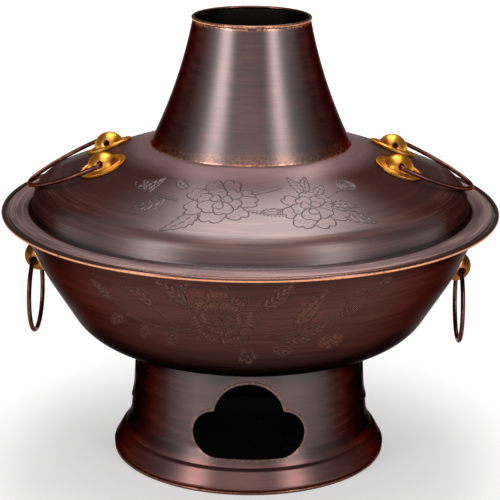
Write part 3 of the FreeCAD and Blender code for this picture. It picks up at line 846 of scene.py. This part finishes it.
def spinTree():
    # a grid of segments x outline points, each row carried round the axis at its outline point
    tree, given = startTree("spinOutline", {"Outline": "Geometry", "Segments": "Int",
                                            "Outline Points": "Int", "Finish": "Material"})
    rows = given["Outline Points"]
    grid = addNode(tree, "GeometryNodeMeshGrid", {
        "Size X": 1.0, "Size Y": 1.0,
        "Vertices X": plus(tree, given["Segments"], 1.0), "Vertices Y": rows})
    place = separate(tree, position(tree))
    turn = times(tree, plus(tree, place[0], 0.5), 2 * math.pi)
    row = calc(tree, "ROUND", times(tree, plus(tree, place[1], 0.5), minus(tree, rows, 1.0)))

    def sampled(kind, value):
        return addNode(tree, "GeometryNodeSampleIndex",
                       {"Geometry": given["Outline"], "Value": value, "Index": row},
                       data_type=kind, domain="POINT").outputs["Value"]

    radius, _, height = separate(tree, sampled("FLOAT_VECTOR", position(tree)))
    lining = sampled("FLOAT", readLayer(tree, "lining"))
    stored = storeLayer(tree, grid.outputs["Mesh"], "lining", lining)
    around = combine(tree, times(tree, radius, calc(tree, "COSINE", turn)),
                     times(tree, radius, calc(tree, "SINE", turn)), height)
    moved = addNode(tree, "GeometryNodeSetPosition", {"Geometry": stored, "Position": around})
    merged = addNode(tree, "GeometryNodeMergeByDistance", {"Geometry": moved.outputs["Geometry"],
                                                           "Distance": sheetSetup["weld"]})
    endTree(tree, merged.outputs[0], given["Finish"])
    return tree


def lineHolder(name, strips, **layers):
    # a mesh of edges only: strips of (x, y, z) points in mm, and number layers on them
    points, edges = [], []
    for strip in strips:
        edges += [(len(points) + i, len(points) + i + 1) for i in range(len(strip) - 1)]
        points += [(x * mm, y * mm, z * mm) for x, y, z in strip]
    mesh = bpy.data.meshes.new(name)
    mesh.from_pydata(points, edges, [])
    for label, values in layers.items():
        mesh.attributes.new(label, "FLOAT", "POINT").data.foreach_set("value", values)
    holder = bpy.data.objects.new(name, mesh)
    scene.collection.objects.link(holder)
    return holder


def grown(name, holder, tree, inputs):   # what the tree makes of the holder, as a plain mesh
    modifier = holder.modifiers.new("shape", "NODES")
    modifier.node_group = tree
    for label, value in inputs.items():
        setInput(modifier, label, value)
    graph = bpy.context.evaluated_depsgraph_get()
    mesh = bpy.data.meshes.new_from_object(holder.evaluated_get(graph), depsgraph=graph)
    mesh.name = name
    piece = bpy.data.objects.new(name, mesh)
    scene.collection.objects.link(piece)
    bpy.data.objects.remove(holder)
    return piece


def spinSheet(name, tree, outer, setup, finish, levelEnds=False):
    loop, lining = withThickness(outer, setup["sheet"], levelEnds)
    holder = lineHolder(name + "Outline", [[(r, 0.0, z) for r, z in loop]], lining=lining)
    piece = grown(name, holder, tree, {
        "Segments": setup["segments"], "Outline Points": len(loop), "Finish": finish})
    shape = bmesh.new()
    shape.from_mesh(piece.data)
    bmesh.ops.recalc_face_normals(shape, faces=shape.faces)
    shape.to_mesh(piece.data)
    shape.free()
    piece.data.shade_smooth()
    piece.data.set_sharp_from_angle(angle=math.radians(sheetSetup["sharpEdge"]))
    return piece


# chased flowers on the lid and the bowl

gravingLook = {
    # section of a chased line, mm from its middle and above the sheet
    "section": [(-0.58, -0.03), (-0.36, 0.10), (-0.17, 0.035),
                (0.17, 0.035), (0.36, 0.10), (0.58, -0.03)],
    "cutHeight": 0.035,      # its points at this height are the cut
    "cutWithin": 0.00001, "rayStart": 0.3,   # metres: how exactly, and how far out rays start
    "pointGap": 0.8,         # mm between points along a line
    "seed": 11,
    "cut": (0.024, 0.012, 0.011), "cutLevels": (0.25, 0.80),
    "gritNoise": (700.0, 3.0, 0.6), "gritLevels": (0.35, 0.65), "grit": (0.2, 0.0002),
    # on the lips, in the cut
    "roughness": (0.32, 0.7), "metallic": (1.0, 0.3), "lacquerInCut": 0.35,
    "edgeOn": (0.40, 0.36, 0.36), "specular": 0.1, "lacquerRough": 0.34, "lacquerIndex": 1.8,
}
lidGraving = {"lip": (0.135, 0.066, 0.060), "lipDark": (0.080, 0.036, 0.032), "lacquer": 0.70}
bowlGraving = {"lip": (0.165, 0.074, 0.064), "lipDark": (0.085, 0.036, 0.032), "lacquer": 0.04}
dice = random.Random(gravingLook["seed"])


def makeGraving(name, piece):
    # chased lines: a dark cut between two raised lips
    look = gravingLook
    material, tree, shader = newMaterial(name)
    cut = addNode(tree, "ShaderNodeAttribute", attribute_name="cut").outputs["Fac"]
    grit = noise(tree, placeOn(tree), *look["gritNoise"])
    lip = fade(tree, grit, look["gritLevels"], piece["lipDark"], piece["lip"])
    feedAll(tree, shader, {
        "Base Color": fade(tree, cut, look["cutLevels"], lip, look["cut"]),
        "Roughness": spread(tree, cut, *look["roughness"]),
        "Metallic": spread(tree, cut, *look["metallic"]),
        "Specular Tint": (*look["edgeOn"], 1), "Specular IOR Level": look["specular"],
        "Coat Weight": spread(tree, cut, piece["lacquer"], look["lacquerInCut"] * piece["lacquer"]),
        "Coat Roughness": look["lacquerRough"], "Coat IOR": look["lacquerIndex"],
        "Normal": bumped(tree, grit, *look["grit"])})
    return material


def bent(points, perLeg=10):             # a smooth line through a few points
    padded = [points[0]] + list(points) + [points[-1]]
    line = []
    for a, b, c, d in zip(padded, padded[1:], padded[2:], padded[3:]):
        for i in range(perLeg):
            t = i / perLeg
            line.append(tuple(0.5 * (2 * q + (r - p) * t + (2 * p - 5 * q + 4 * r - s) * t * t
                                     + (3 * q - p - 3 * r + s) * t ** 3)
                              for p, q, r, s in zip(a, b, c, d)))
    return line + [tuple(points[-1])]


def evenly(line, gap):                   # the same line with its points a set gap apart
    legs = [math.dist(a, b) for a, b in zip(line, line[1:])]
    total = sum(legs)
    count = max(1, round(total / gap))
    spots, leg, walked = [line[0]], 0, 0.0
    for i in range(1, count):
        goal = total * i / count
        while walked + legs[leg] < goal:
            walked += legs[leg]
            leg += 1
        share = (goal - walked) / legs[leg]
        a, b = line[leg], line[leg + 1]
        spots.append((a[0] + (b[0] - a[0]) * share, a[1] + (b[1] - a[1]) * share))
    return spots + [line[-1]]


def aimed(base, along, across, heading):     # a point so far along a heading and to its left
    c, s = math.cos(heading), math.sin(heading)
    return (base[0] + along * c - across * s, base[1] + along * s + across * c)


def coverOf(ring):                       # a closed shape with the corners of the box round it
    xs, ys = [p[0] for p in ring], [p[1] for p in ring]
    return (min(xs), min(ys)), (max(xs), max(ys)), list(ring)


def isUnder(point, cover):               # is the point inside a closed shape drawn earlier
    low, high, ring = cover
    if not (low[0] < point[0] < high[0] and low[1] < point[1] < high[1]):
        return False
    inside = False
    for (x0, y0), (x1, y1) in zip(ring, ring[1:] + ring[:1]):
        if (y0 > point[1]) != (y1 > point[1]):
            if point[0] < x0 + (point[1] - y0) * (x1 - x0) / (y1 - y0):
                inside = not inside
    return inside


def drawLine(sketch, line, weight=1.0):  # what earlier shapes cover is left out
    runs = [[]]
    for point in evenly(line, gravingLook["pointGap"]):
        if any(isUnder(point, cover) for cover in sketch["covers"]):
            runs.append([])
        else:
            runs[-1].append(point)
    for run in runs:
        if len(run) > 1:
            sketch["lines"].append(run)
            sketch["weights"].append(weight)


# shares of a petal's or a leaf's length and width, unless said; hatching is short strokes of shade
petalShape = {
    "points": 56, "phase": 0.3, "lean": 0.12, "narrow": 0.62, "swell": 0.5,
    "depth": 0.10, "wavyPart": 0.35,     # how deep the waves are, and how far back they reach
    "hatchFrom": (0.60, 0.05, 3),        # start, further on in the middle, how tightly curved
    "hatchLength": 0.15, "hatchWidth": (0.72, 0.80), "hatchWeight": 0.75,
}
peonyShape = {
    "stamens": 7, "stamenPlace": (0.10, 0.08), "stamenLength": 0.035, "stamenWeight": 1.1,
    "petalStart": 0.03, "hatches": 5, "hatchReach": 0.5,
}
leafShape = {
    "tooth": (0.72, 0.42), "toothPush": 0.10, "toothPoints": 6, "bend": 0.14, "ribPoints": 10,
    "belly": (0.75, 0.8),    # below 1: widest nearer the base, and fuller
    "veinLength": 0.16, "veinReach": 0.34, "veinShift": 0.3, "lastVein": 0.97,
    "weights": (1.0, 0.9, 0.7),          # edge, midrib, veins
}
budShape = {                             # rings: size and how far each is pushed back
    "points": 36, "ripple": (0.07, 5), "edgeWeight": 0.95, "innerWeight": 0.8,
    "rings": ((1.0, 0.0), (0.74, -0.04), (0.48, -0.08), (0.24, -0.10)),
    "sepal": ((0.22, 0.42), (0.55, 0.66)), "sepalWeight": 0.9,
}
stemShape = {
    "halfWidth": 0.75, "weight": 0.9, "dotWeight": 1.15,
    "dash": 1.0,             # mm drawn, and as much left out
}


def drawPetal(sketch, base, heading, length, width, waves, hatches):
    shape = petalShape
    phase = dice.uniform(-shape["phase"], shape["phase"])
    lean = dice.uniform(-shape["lean"], shape["lean"])
    ring = []
    for i in range(shape["points"] + 1):
        t = 2 * math.pi * i / shape["points"] - math.pi
        along = 0.5 * (1 + math.cos(t))
        wave = (1 - abs(math.sin(waves * t / 2 + phase))) ** 2
        reach = 1 - shape["depth"] * max(0.0, math.cos(t) + shape["wavyPart"]) * wave
        half = 0.5 * width * math.sin(t) * (shape["narrow"] + shape["swell"] * along) * reach
        half += lean * length * along * along
        ring.append(aimed(base, length * along * reach, half, heading))
    drawLine(sketch, ring)
    hatchFrom, arch, curl = shape["hatchFrom"]
    for k in range(hatches):
        aside = (k - (hatches - 1) / 2) / max(hatches, 2)
        start = hatchFrom + arch * math.cos(aside * curl)
        stroke = []
        for end, wide in zip((start, start + shape["hatchLength"]), shape["hatchWidth"]):
            across = width * aside * wide + lean * length * end ** 2
            stroke.append(aimed(base, length * end, across, heading))
        drawLine(sketch, stroke, shape["hatchWeight"])
    sketch["covers"].append(coverOf(ring))


def drawPeony(sketch, centre, size, lift, petals):
    shape = peonyShape
    across, up = (share * size for share in shape["stamenPlace"])
    for i in range(shape["stamens"]):
        t = 2 * math.pi * i / shape["stamens"]
        dot = (centre[0] + across * math.cos(t), centre[1] + up * math.sin(t))
        reach = shape["stamenLength"] * size
        drawLine(sketch, [dot, (dot[0] + reach * math.cos(t), dot[1] + reach * math.sin(t))],
                 shape["stamenWeight"])
    for bearing, reach, width, waves in petals:
        heading = math.radians(bearing) + lift
        base = aimed(centre, shape["petalStart"] * size, 0, heading)
        hatches = shape["hatches"] if reach > shape["hatchReach"] else 0
        drawPetal(sketch, base, heading, reach * size, width * size, waves, hatches)


def drawLeaf(sketch, base, tip, width, teeth, bend):
    shape = leafShape
    heading = math.atan2(tip[1] - base[1], tip[0] - base[0])
    length = math.dist(base, tip)
    edgeWeight, ribWeight, veinWeight = shape["weights"]
    slim, flare = shape["tooth"]
    lean, fullness = shape["belly"]
    ribPoints = shape["ribPoints"]

    def rib(share):
        return aimed(base, length * share, bend * length * math.sin(math.pi * share), heading)

    def side(way):
        steps = teeth * shape["toothPoints"]
        for i in range(steps + 1):
            share = i / steps
            tooth = (share * teeth) % 1.0
            full = math.sin(math.pi * share ** lean) ** fullness
            half = 0.5 * width * full * (slim + flare * tooth)
            yield aimed(rib(share), shape["toothPush"] * width * tooth, way * half, heading)

    sides = [list(side(way)) for way in (1, -1)]
    drawLine(sketch, sides[0], edgeWeight)
    drawLine(sketch, sides[1], edgeWeight)
    drawLine(sketch, [rib(i / ribPoints) for i in range(ribPoints + 1)], ribWeight)
    for i in range(1, teeth):
        share = (i - shape["veinShift"]) / teeth
        end = min(share + shape["veinLength"], shape["lastVein"])
        reach = shape["veinReach"] * width * math.sin(math.pi * end ** lean)
        for way in (1, -1):
            drawLine(sketch, [rib(share), aimed(rib(end), 0, way * reach, heading)], veinWeight)
    sketch["covers"].append(coverOf(sides[0] + sides[1][::-1]))


def drawDashes(sketch, line, weight):     # two steps drawn, then two left out
    spots = evenly(line, stemShape["dash"] / 2)
    for i in range(0, len(spots) - 2, 4):
        drawLine(sketch, spots[i:i + 3], weight)


def drawStem(sketch, points, kind):
    line = bent(points)
    if kind == "double":
        headings = [math.atan2(b[1] - a[1], b[0] - a[0]) for a, b in zip(line, line[1:])]
        left, right = ([aimed(a, 0, way, heading) for a, heading in zip(line, headings)]
                       for way in (stemShape["halfWidth"], -stemShape["halfWidth"]))
        drawLine(sketch, left, stemShape["weight"])
        drawDashes(sketch, right, stemShape["weight"])
    elif kind == "dots":
        drawDashes(sketch, line, stemShape["dotWeight"])
    else:
        drawLine(sketch, line, stemShape["weight"])


def drawBud(sketch, middle, heading, length, width):
    shape = budShape
    depth, ripples = shape["ripple"]
    for grow, shift in shape["rings"]:
        centre = aimed(middle, shift * length, 0, heading)
        ring = []
        for i in range(shape["points"] + 1):
            t = 2 * math.pi * i / shape["points"]
            across = 0.5 * grow * width * math.sin(t) * (1 + depth * math.sin(ripples * t))
            ring.append(aimed(centre, 0.5 * grow * length * math.cos(t), across, heading))
        if grow == 1:
            drawLine(sketch, ring, shape["edgeWeight"])
            outline = coverOf(ring)
        else:
            drawLine(sketch, ring, shape["innerWeight"])
    sketch["covers"].append(outline)     # last, or it would hide its own rings
    foot = aimed(middle, -0.5 * length, 0, heading)
    for way in (1, -1):
        sepal = [aimed(foot, along * length, way * across * width, heading)
                 for along, across in shape["sepal"]]
        drawLine(sketch, bent([foot, *sepal]), shape["sepalWeight"])


# places: a bearing from the front in degrees, and mm from the axis (lid) or above the table (bowl)
# peonies: middle, size, turn, petals (bearing, reach, width, waves), nearest to the eye first
# leaves: base, tip, width, teeth; buds: middle, heading, length, width
lidFlowers = {
    "unroll": 100.0,         # radius at which a bearing is turned into mm, and back
    "peonies": [
        ((-10.0, 101.5), 20.0, 0.0, [
            (100, 0.34, 0.34, 3), (215, 0.34, 0.36, 3), (330, 0.34, 0.36, 3),
            (70, 0.62, 0.62, 4), (135, 0.66, 0.66, 4), (20, 0.62, 0.58, 4), (185, 0.70, 0.58, 4),
            (250, 0.62, 0.66, 4), (310, 0.70, 0.64, 4),
            (98, 1.00, 0.78, 6), (52, 1.02, 0.70, 5), (155, 1.06, 0.74, 5), (200, 1.12, 0.66, 5),
            (0, 1.10, 0.62, 5), (238, 1.02, 0.72, 5), (285, 1.05, 0.80, 6), (335, 1.08, 0.60, 5)]),
        ((19.5, 108.5), 17.0, 0.2, [
            (80, 0.36, 0.36, 3), (200, 0.36, 0.36, 3), (310, 0.36, 0.36, 3),
            (100, 0.70, 0.66, 4), (45, 0.70, 0.62, 4), (165, 0.66, 0.62, 4), (235, 0.62, 0.6, 4),
            (300, 0.66, 0.6, 4), (0, 0.7, 0.58, 4),
            (110, 1.18, 0.78, 6), (70, 1.15, 0.74, 5), (25, 1.20, 0.66, 5), (155, 1.02, 0.7, 5),
            (205, 1.05, 0.62, 5), (262, 0.86, 0.7, 5), (320, 0.92, 0.66, 5)]),
    ],
    "leaves": [
        ((-29.5, 105.5), (-38.0, 118), 9.5, 5), ((-16.6, 109), (-23.6, 132), 10, 6),
        ((19.0, 96), (16.0, 78.5), 7.5, 5), ((21.0, 94), (24.5, 79.5), 7.0, 5),
        ((23.0, 98), (29.0, 89), 6.5, 4), ((27.0, 115), (35.2, 129), 9.5, 5),
        ((26.5, 108), (34.5, 113), 7.5, 4), ((-37, 101), (-44.5, 92), 7.5, 4),
        ((-38, 99), (-37.2, 86), 6.5, 4), ((3.2, 111), (10.5, 109), 5.5, 3),
        ((-24, 92), (-30.5, 84), 7, 4)],
    "stems": [
        ([(-37.5, 98), (-31, 102.5), (-24, 104.5)], "double"),
        ([(1.0, 92), (5.5, 89.8), (12.2, 86.0)], "dots"),
        ([(2.0, 94.5), (6.0, 92.5), (12.6, 88.4)], "line"),
        ([(-0.5, 109.5), (7, 112.4), (14.3, 111.6)], "double"),
        ([(0.5, 111.6), (7, 114.6), (12.5, 114.4)], "dots"),
        ([(-38.5, 102), (-44.5, 99.5), (-47.5, 95)], "dots"),
        ([(31.0, 98), (34, 97), (36.2, 95.5)], "line"),
        ([(24, 100), (27.3, 101), (31, 98)], "dots")],
    "buds": [((38.6, 93.0), 205, 12.5, 9.0), ((-42.0, 98.0), 30, 6.0, 4.2)],
}
bowlFlowers = {
    "unroll": 138.0,
    "peonies": [
        ((-6.8, 133), 20.5, 0.0, [
            (90, 0.34, 0.34, 3), (205, 0.34, 0.36, 3), (325, 0.34, 0.36, 3),
            (62, 0.66, 0.64, 4), (120, 0.66, 0.66, 4), (10, 0.62, 0.58, 4), (178, 0.70, 0.58, 4),
            (240, 0.64, 0.66, 4), (300, 0.68, 0.64, 4),
            (100, 1.12, 0.82, 6), (58, 1.04, 0.70, 5), (148, 0.98, 0.70, 5), (192, 1.02, 0.70, 5),
            (0, 1.10, 0.66, 5), (236, 1.16, 0.74, 5), (282, 1.12, 0.82, 6), (328, 1.04, 0.66, 5)]),
        ((22.9, 112.6), 6.2, 0.4, [
            (90, 0.5, 0.5, 3), (210, 0.5, 0.5, 3), (330, 0.5, 0.5, 3),
            (30, 1.0, 0.8, 4), (100, 1.0, 0.8, 4), (172, 1.0, 0.8, 4), (244, 1.0, 0.8, 4),
            (316, 1.0, 0.8, 4)]),
        ((-0.5, 103.5), 6.5, 0.0, [
            (60, 1.0, 0.7, 4), (130, 1.0, 0.7, 4), (0, 1.0, 0.7, 4), (200, 1.0, 0.7, 4),
            (280, 0.9, 0.7, 4)]),
    ],
    "leaves": [
        ((-15.0, 141), (-22.2, 156), 11, 6), ((-24.0, 136), (-30.6, 147), 9, 5),
        ((2.9, 141), (9.8, 158), 11, 6), ((11.3, 126.5), (18.2, 151), 11.5, 6),
        ((12.5, 121), (20.6, 128), 8, 5), ((6.0, 112), (12.5, 106), 8, 5),
        ((8.5, 117), (17.5, 116), 7.5, 5), ((-36.5, 137), (-41.5, 147), 7.5, 5),
        ((-34.5, 124), (-40.5, 116), 7.5, 5), ((-27.5, 121), (-31.5, 110), 7.5, 5),
        ((-20.5, 119), (-23.5, 108), 7, 4), ((-16.0, 148), (-13.5, 158), 6.5, 4)],
    "stems": [
        ([(-33.5, 127), (-22.2, 120), (-13.9, 122.5)], "double"),
        ([(-37, 140), (-34.5, 131), (-33, 126)], "dots"),
        ([(2.5, 122), (9.5, 120.2), (16.0, 124.5), (22.3, 132)], "double"),
        ([(13.0, 118), (18.0, 113.5), (20.5, 112.5)], "dots"),
        ([(-24, 135), (-21, 128), (-18, 122)], "line")],
    "buds": [((26.2, 139.5), 52, 21.0, 10.5), ((33.5, 150.5), 40, 9.0, 5.5)],
}


def sketchFlowers(design):
    def unrolled(spot):
        return (math.radians(spot[0]) * design["unroll"], spot[1])

    sketch = {"lines": [], "weights": [], "covers": []}
    for centre, size, lift, petals in design["peonies"]:
        drawPeony(sketch, unrolled(centre), size, lift, petals)
    for middle, heading, length, width in design["buds"]:
        drawBud(sketch, unrolled(middle), math.radians(heading), length, width)
    for base, tip, width, teeth in design["leaves"]:
        bend = dice.uniform(-leafShape["bend"], leafShape["bend"])
        drawLeaf(sketch, unrolled(base), unrolled(tip), width, teeth, bend)
    for points, kind in design["stems"]:
        drawStem(sketch, [unrolled(point) for point in points], kind)
    return sketch


def gravingTree():
    # lines drawn flat get their section, are laid on the skin by rays, and repeat on its other side
    tree, given = startTree("laidLines", {
        "Lines": "Geometry", "Section": "Object", "Skin": "Object", "Unroll Radius": "Float",
        "From The Side": "Bool", "Cut Height": "Float", "Finish": "Material"})

    def objectShape(name):
        return addNode(tree, "GeometryNodeObjectInfo", {"Object": given[name]}).outputs["Geometry"]

    def asCurve(shape):
        return addNode(tree, "GeometryNodeMeshToCurve", {0: shape}).outputs[0]

    def chosen(kind, no, yes):
        return addNode(tree, "GeometryNodeSwitch", {
            "Switch": given["From The Side"], "False": no, "True": yes}, input_type=kind).outputs[0]

    upright = addNode(tree, "GeometryNodeSetCurveNormal", {"Curve": asCurve(given["Lines"])},
                      mode="Z_UP")
    weight = readLayer(tree, "weight")
    swelled = addNode(tree, "GeometryNodeSetCurveRadius", {"Curve": upright.outputs[0],
                                                           "Radius": weight})
    drawn = addNode(tree, "GeometryNodeCurveToMesh", {
        "Curve": swelled.outputs[0], "Profile Curve": asCurve(objectShape("Section"))})
    across, along, depth = separate(tree, position(tree))
    height = times(tree, depth, -1.0)        # a section comes out upside down
    level = calc(tree, "DIVIDE", height, weight)
    cut = calc(tree, "COMPARE", level, given["Cut Height"], gravingLook["cutWithin"])
    stored = storeLayer(tree, drawn.outputs[0], "cut", cut)
    turn = calc(tree, "DIVIDE", across, given["Unroll Radius"])
    sine, cosine = calc(tree, "SINE", turn), calc(tree, "COSINE", turn)
    away = gravingLook["rayStart"]
    out = chosen("FLOAT", along, away)
    start = combine(tree, times(tree, sine, out), times(tree, times(tree, cosine, -1.0), out),
                    chosen("FLOAT", away, along))
    side = combine(tree, times(tree, sine, -1.0), cosine, 0.0)
    cast = addNode(tree, "GeometryNodeRaycast", {
        "Target Geometry": objectShape("Skin"), "Source Position": start,
        "Ray Direction": chosen("VECTOR", (0.0, 0.0, -1.0), side), "Ray Length": 1.0})
    rise = addNode(tree, "ShaderNodeVectorMath", {0: cast.outputs["Hit Normal"], "Scale": height},
                   operation="SCALE")
    spot = addNode(tree, "ShaderNodeVectorMath",
                   {0: cast.outputs["Hit Position"], 1: rise.outputs[0]}, operation="ADD")
    laid = addNode(tree, "GeometryNodeSetPosition", {"Geometry": stored,
                                                     "Position": spot.outputs[0]})
    turned = addNode(tree, "GeometryNodeTransform", {
        "Geometry": laid.outputs[0], "Rotation": (0, 0, math.pi)})
    both = addNode(tree, "GeometryNodeJoinGeometry")
    tree.links.new(laid.outputs[0], both.inputs[0])
    tree.links.new(turned.outputs[0], both.inputs[0])
    endTree(tree, both.outputs[0], given["Finish"])
    return tree


def layGraving(name, tree, design, skin, fromSide, finish):
    sketch = sketchFlowers(design)
    weights = [weight for line, weight in zip(sketch["lines"], sketch["weights"]) for _ in line]
    strips = [[(x, y, 0.0) for x, y in line] for line in sketch["lines"]]
    holder = lineHolder(name + "Lines", strips, weight=weights)
    section = lineHolder(name + "Section", [[(x, y, 0.0) for x, y in gravingLook["section"]]])
    piece = grown(name, holder, tree, {
        "Section": section, "Skin": skin, "Unroll Radius": design["unroll"] * mm,
        "From The Side": fromSide, "Cut Height": gravingLook["cutHeight"] * mm, "Finish": finish})
    bpy.data.objects.remove(section)
    piece.data.shade_smooth()
    print(name, len(sketch["lines"]), "lines,", len(piece.data.polygons), "faces")
    return piece


# put together

makeCamera(viewSetup)
makeLamps(studioSetup)
makeFloor(floorSetup)
print("camera, lamps and floor are set")

lidCopper = makePatina("lidCopper", lidLook, liningMask, "tin", wear=lidWearAndFoldSheen, streaks=lidStreaks,
                       shade=lidPaintedLightAndShade, bareness=lidBareness)
bowlCopper = makePatina("bowlCopper", bowlLook, liningMask, "tin", wear=bowlWear, glow=bowlGlow,
                        shade=bowlPaintedShade)
chimneyCopper = makePatina("chimneyCopper", chimneyLook, liningMask, wear=chimneyWear,
                           glow=chimneyGlow)
footCopper = makePatina("footCopper", footLook, facingIn, wear=footWear, glow=footGlow,
                        shade=footPaintedLightAndShade)
lidLines = makeGraving("lidLines", lidGraving)
bowlLines = makeGraving("bowlLines", bowlGraving)
cadFinishes = {                          # by the name of a node, or the start of it
    "foot": footCopper,
    "ash_floor": makeSootedCopper("ashFloorSoot", 0.08),
    "grate_ledge": makeSootedCopper("ledgeSoot", 0.05),
    "grate": makeCastIron(),
    "fire_tube": makeTin("tubeTin", facingIn),
    "tube_solder": makeTin("solderTin"),
}
cadFinishes.update({start: makeWireFinish(*facts) for start, facts in wires.items()})
cadFinishes.update({start: makeBrass(*facts) for start, facts in brassFittings.items()})
cadFinishes["bowl_washers"] = cadFinishes["lid_washers"]
for nodeName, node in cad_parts.items():
    words = nodeName.split("_")
    for start in (nodeName, "_".join(words[:2]), words[0]):
        if start in cadFinishes:
            node.data.materials.clear()
            node.data.materials.append(cadFinishes[start])
            break
print("finishes are on the fittings")

spin = spinTree()
lidSkin = spinSheet("lidSkin", spin, roundedOutline(lidShape["corners"]), lidShape, lidCopper)
bowlSkin = spinSheet("bowlSkin", spin, roundedOutline(bowlShape["corners"]), bowlShape, bowlCopper)
chimneySkin = spinSheet("chimneySkin", spin, chimneyOutline(chimneyShape), chimneyShape,
                        chimneyCopper, levelEnds=True)
print("sheets are spun")

laid = gravingTree()
lidChasing = layGraving("lidChasing", laid, lidFlowers, lidSkin, False, lidLines)
bowlChasing = layGraving("bowlChasing", laid, bowlFlowers, bowlSkin, True, bowlLines)
print("flowers are chased")

for piece, body, node, slotName in (
        (lidSkin, "lid", "lid", "copper_sheet"),
        (bowlSkin, "pot", "bowl", "copper_sheet"),
        (chimneySkin, "chimney", "chimney", "copper_sheet"),
        (lidChasing, "lid", None, "copper_sheet"),
        (bowlChasing, "pot", None, "copper_sheet")):
    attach(piece, body)
    if node:
        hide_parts(node)
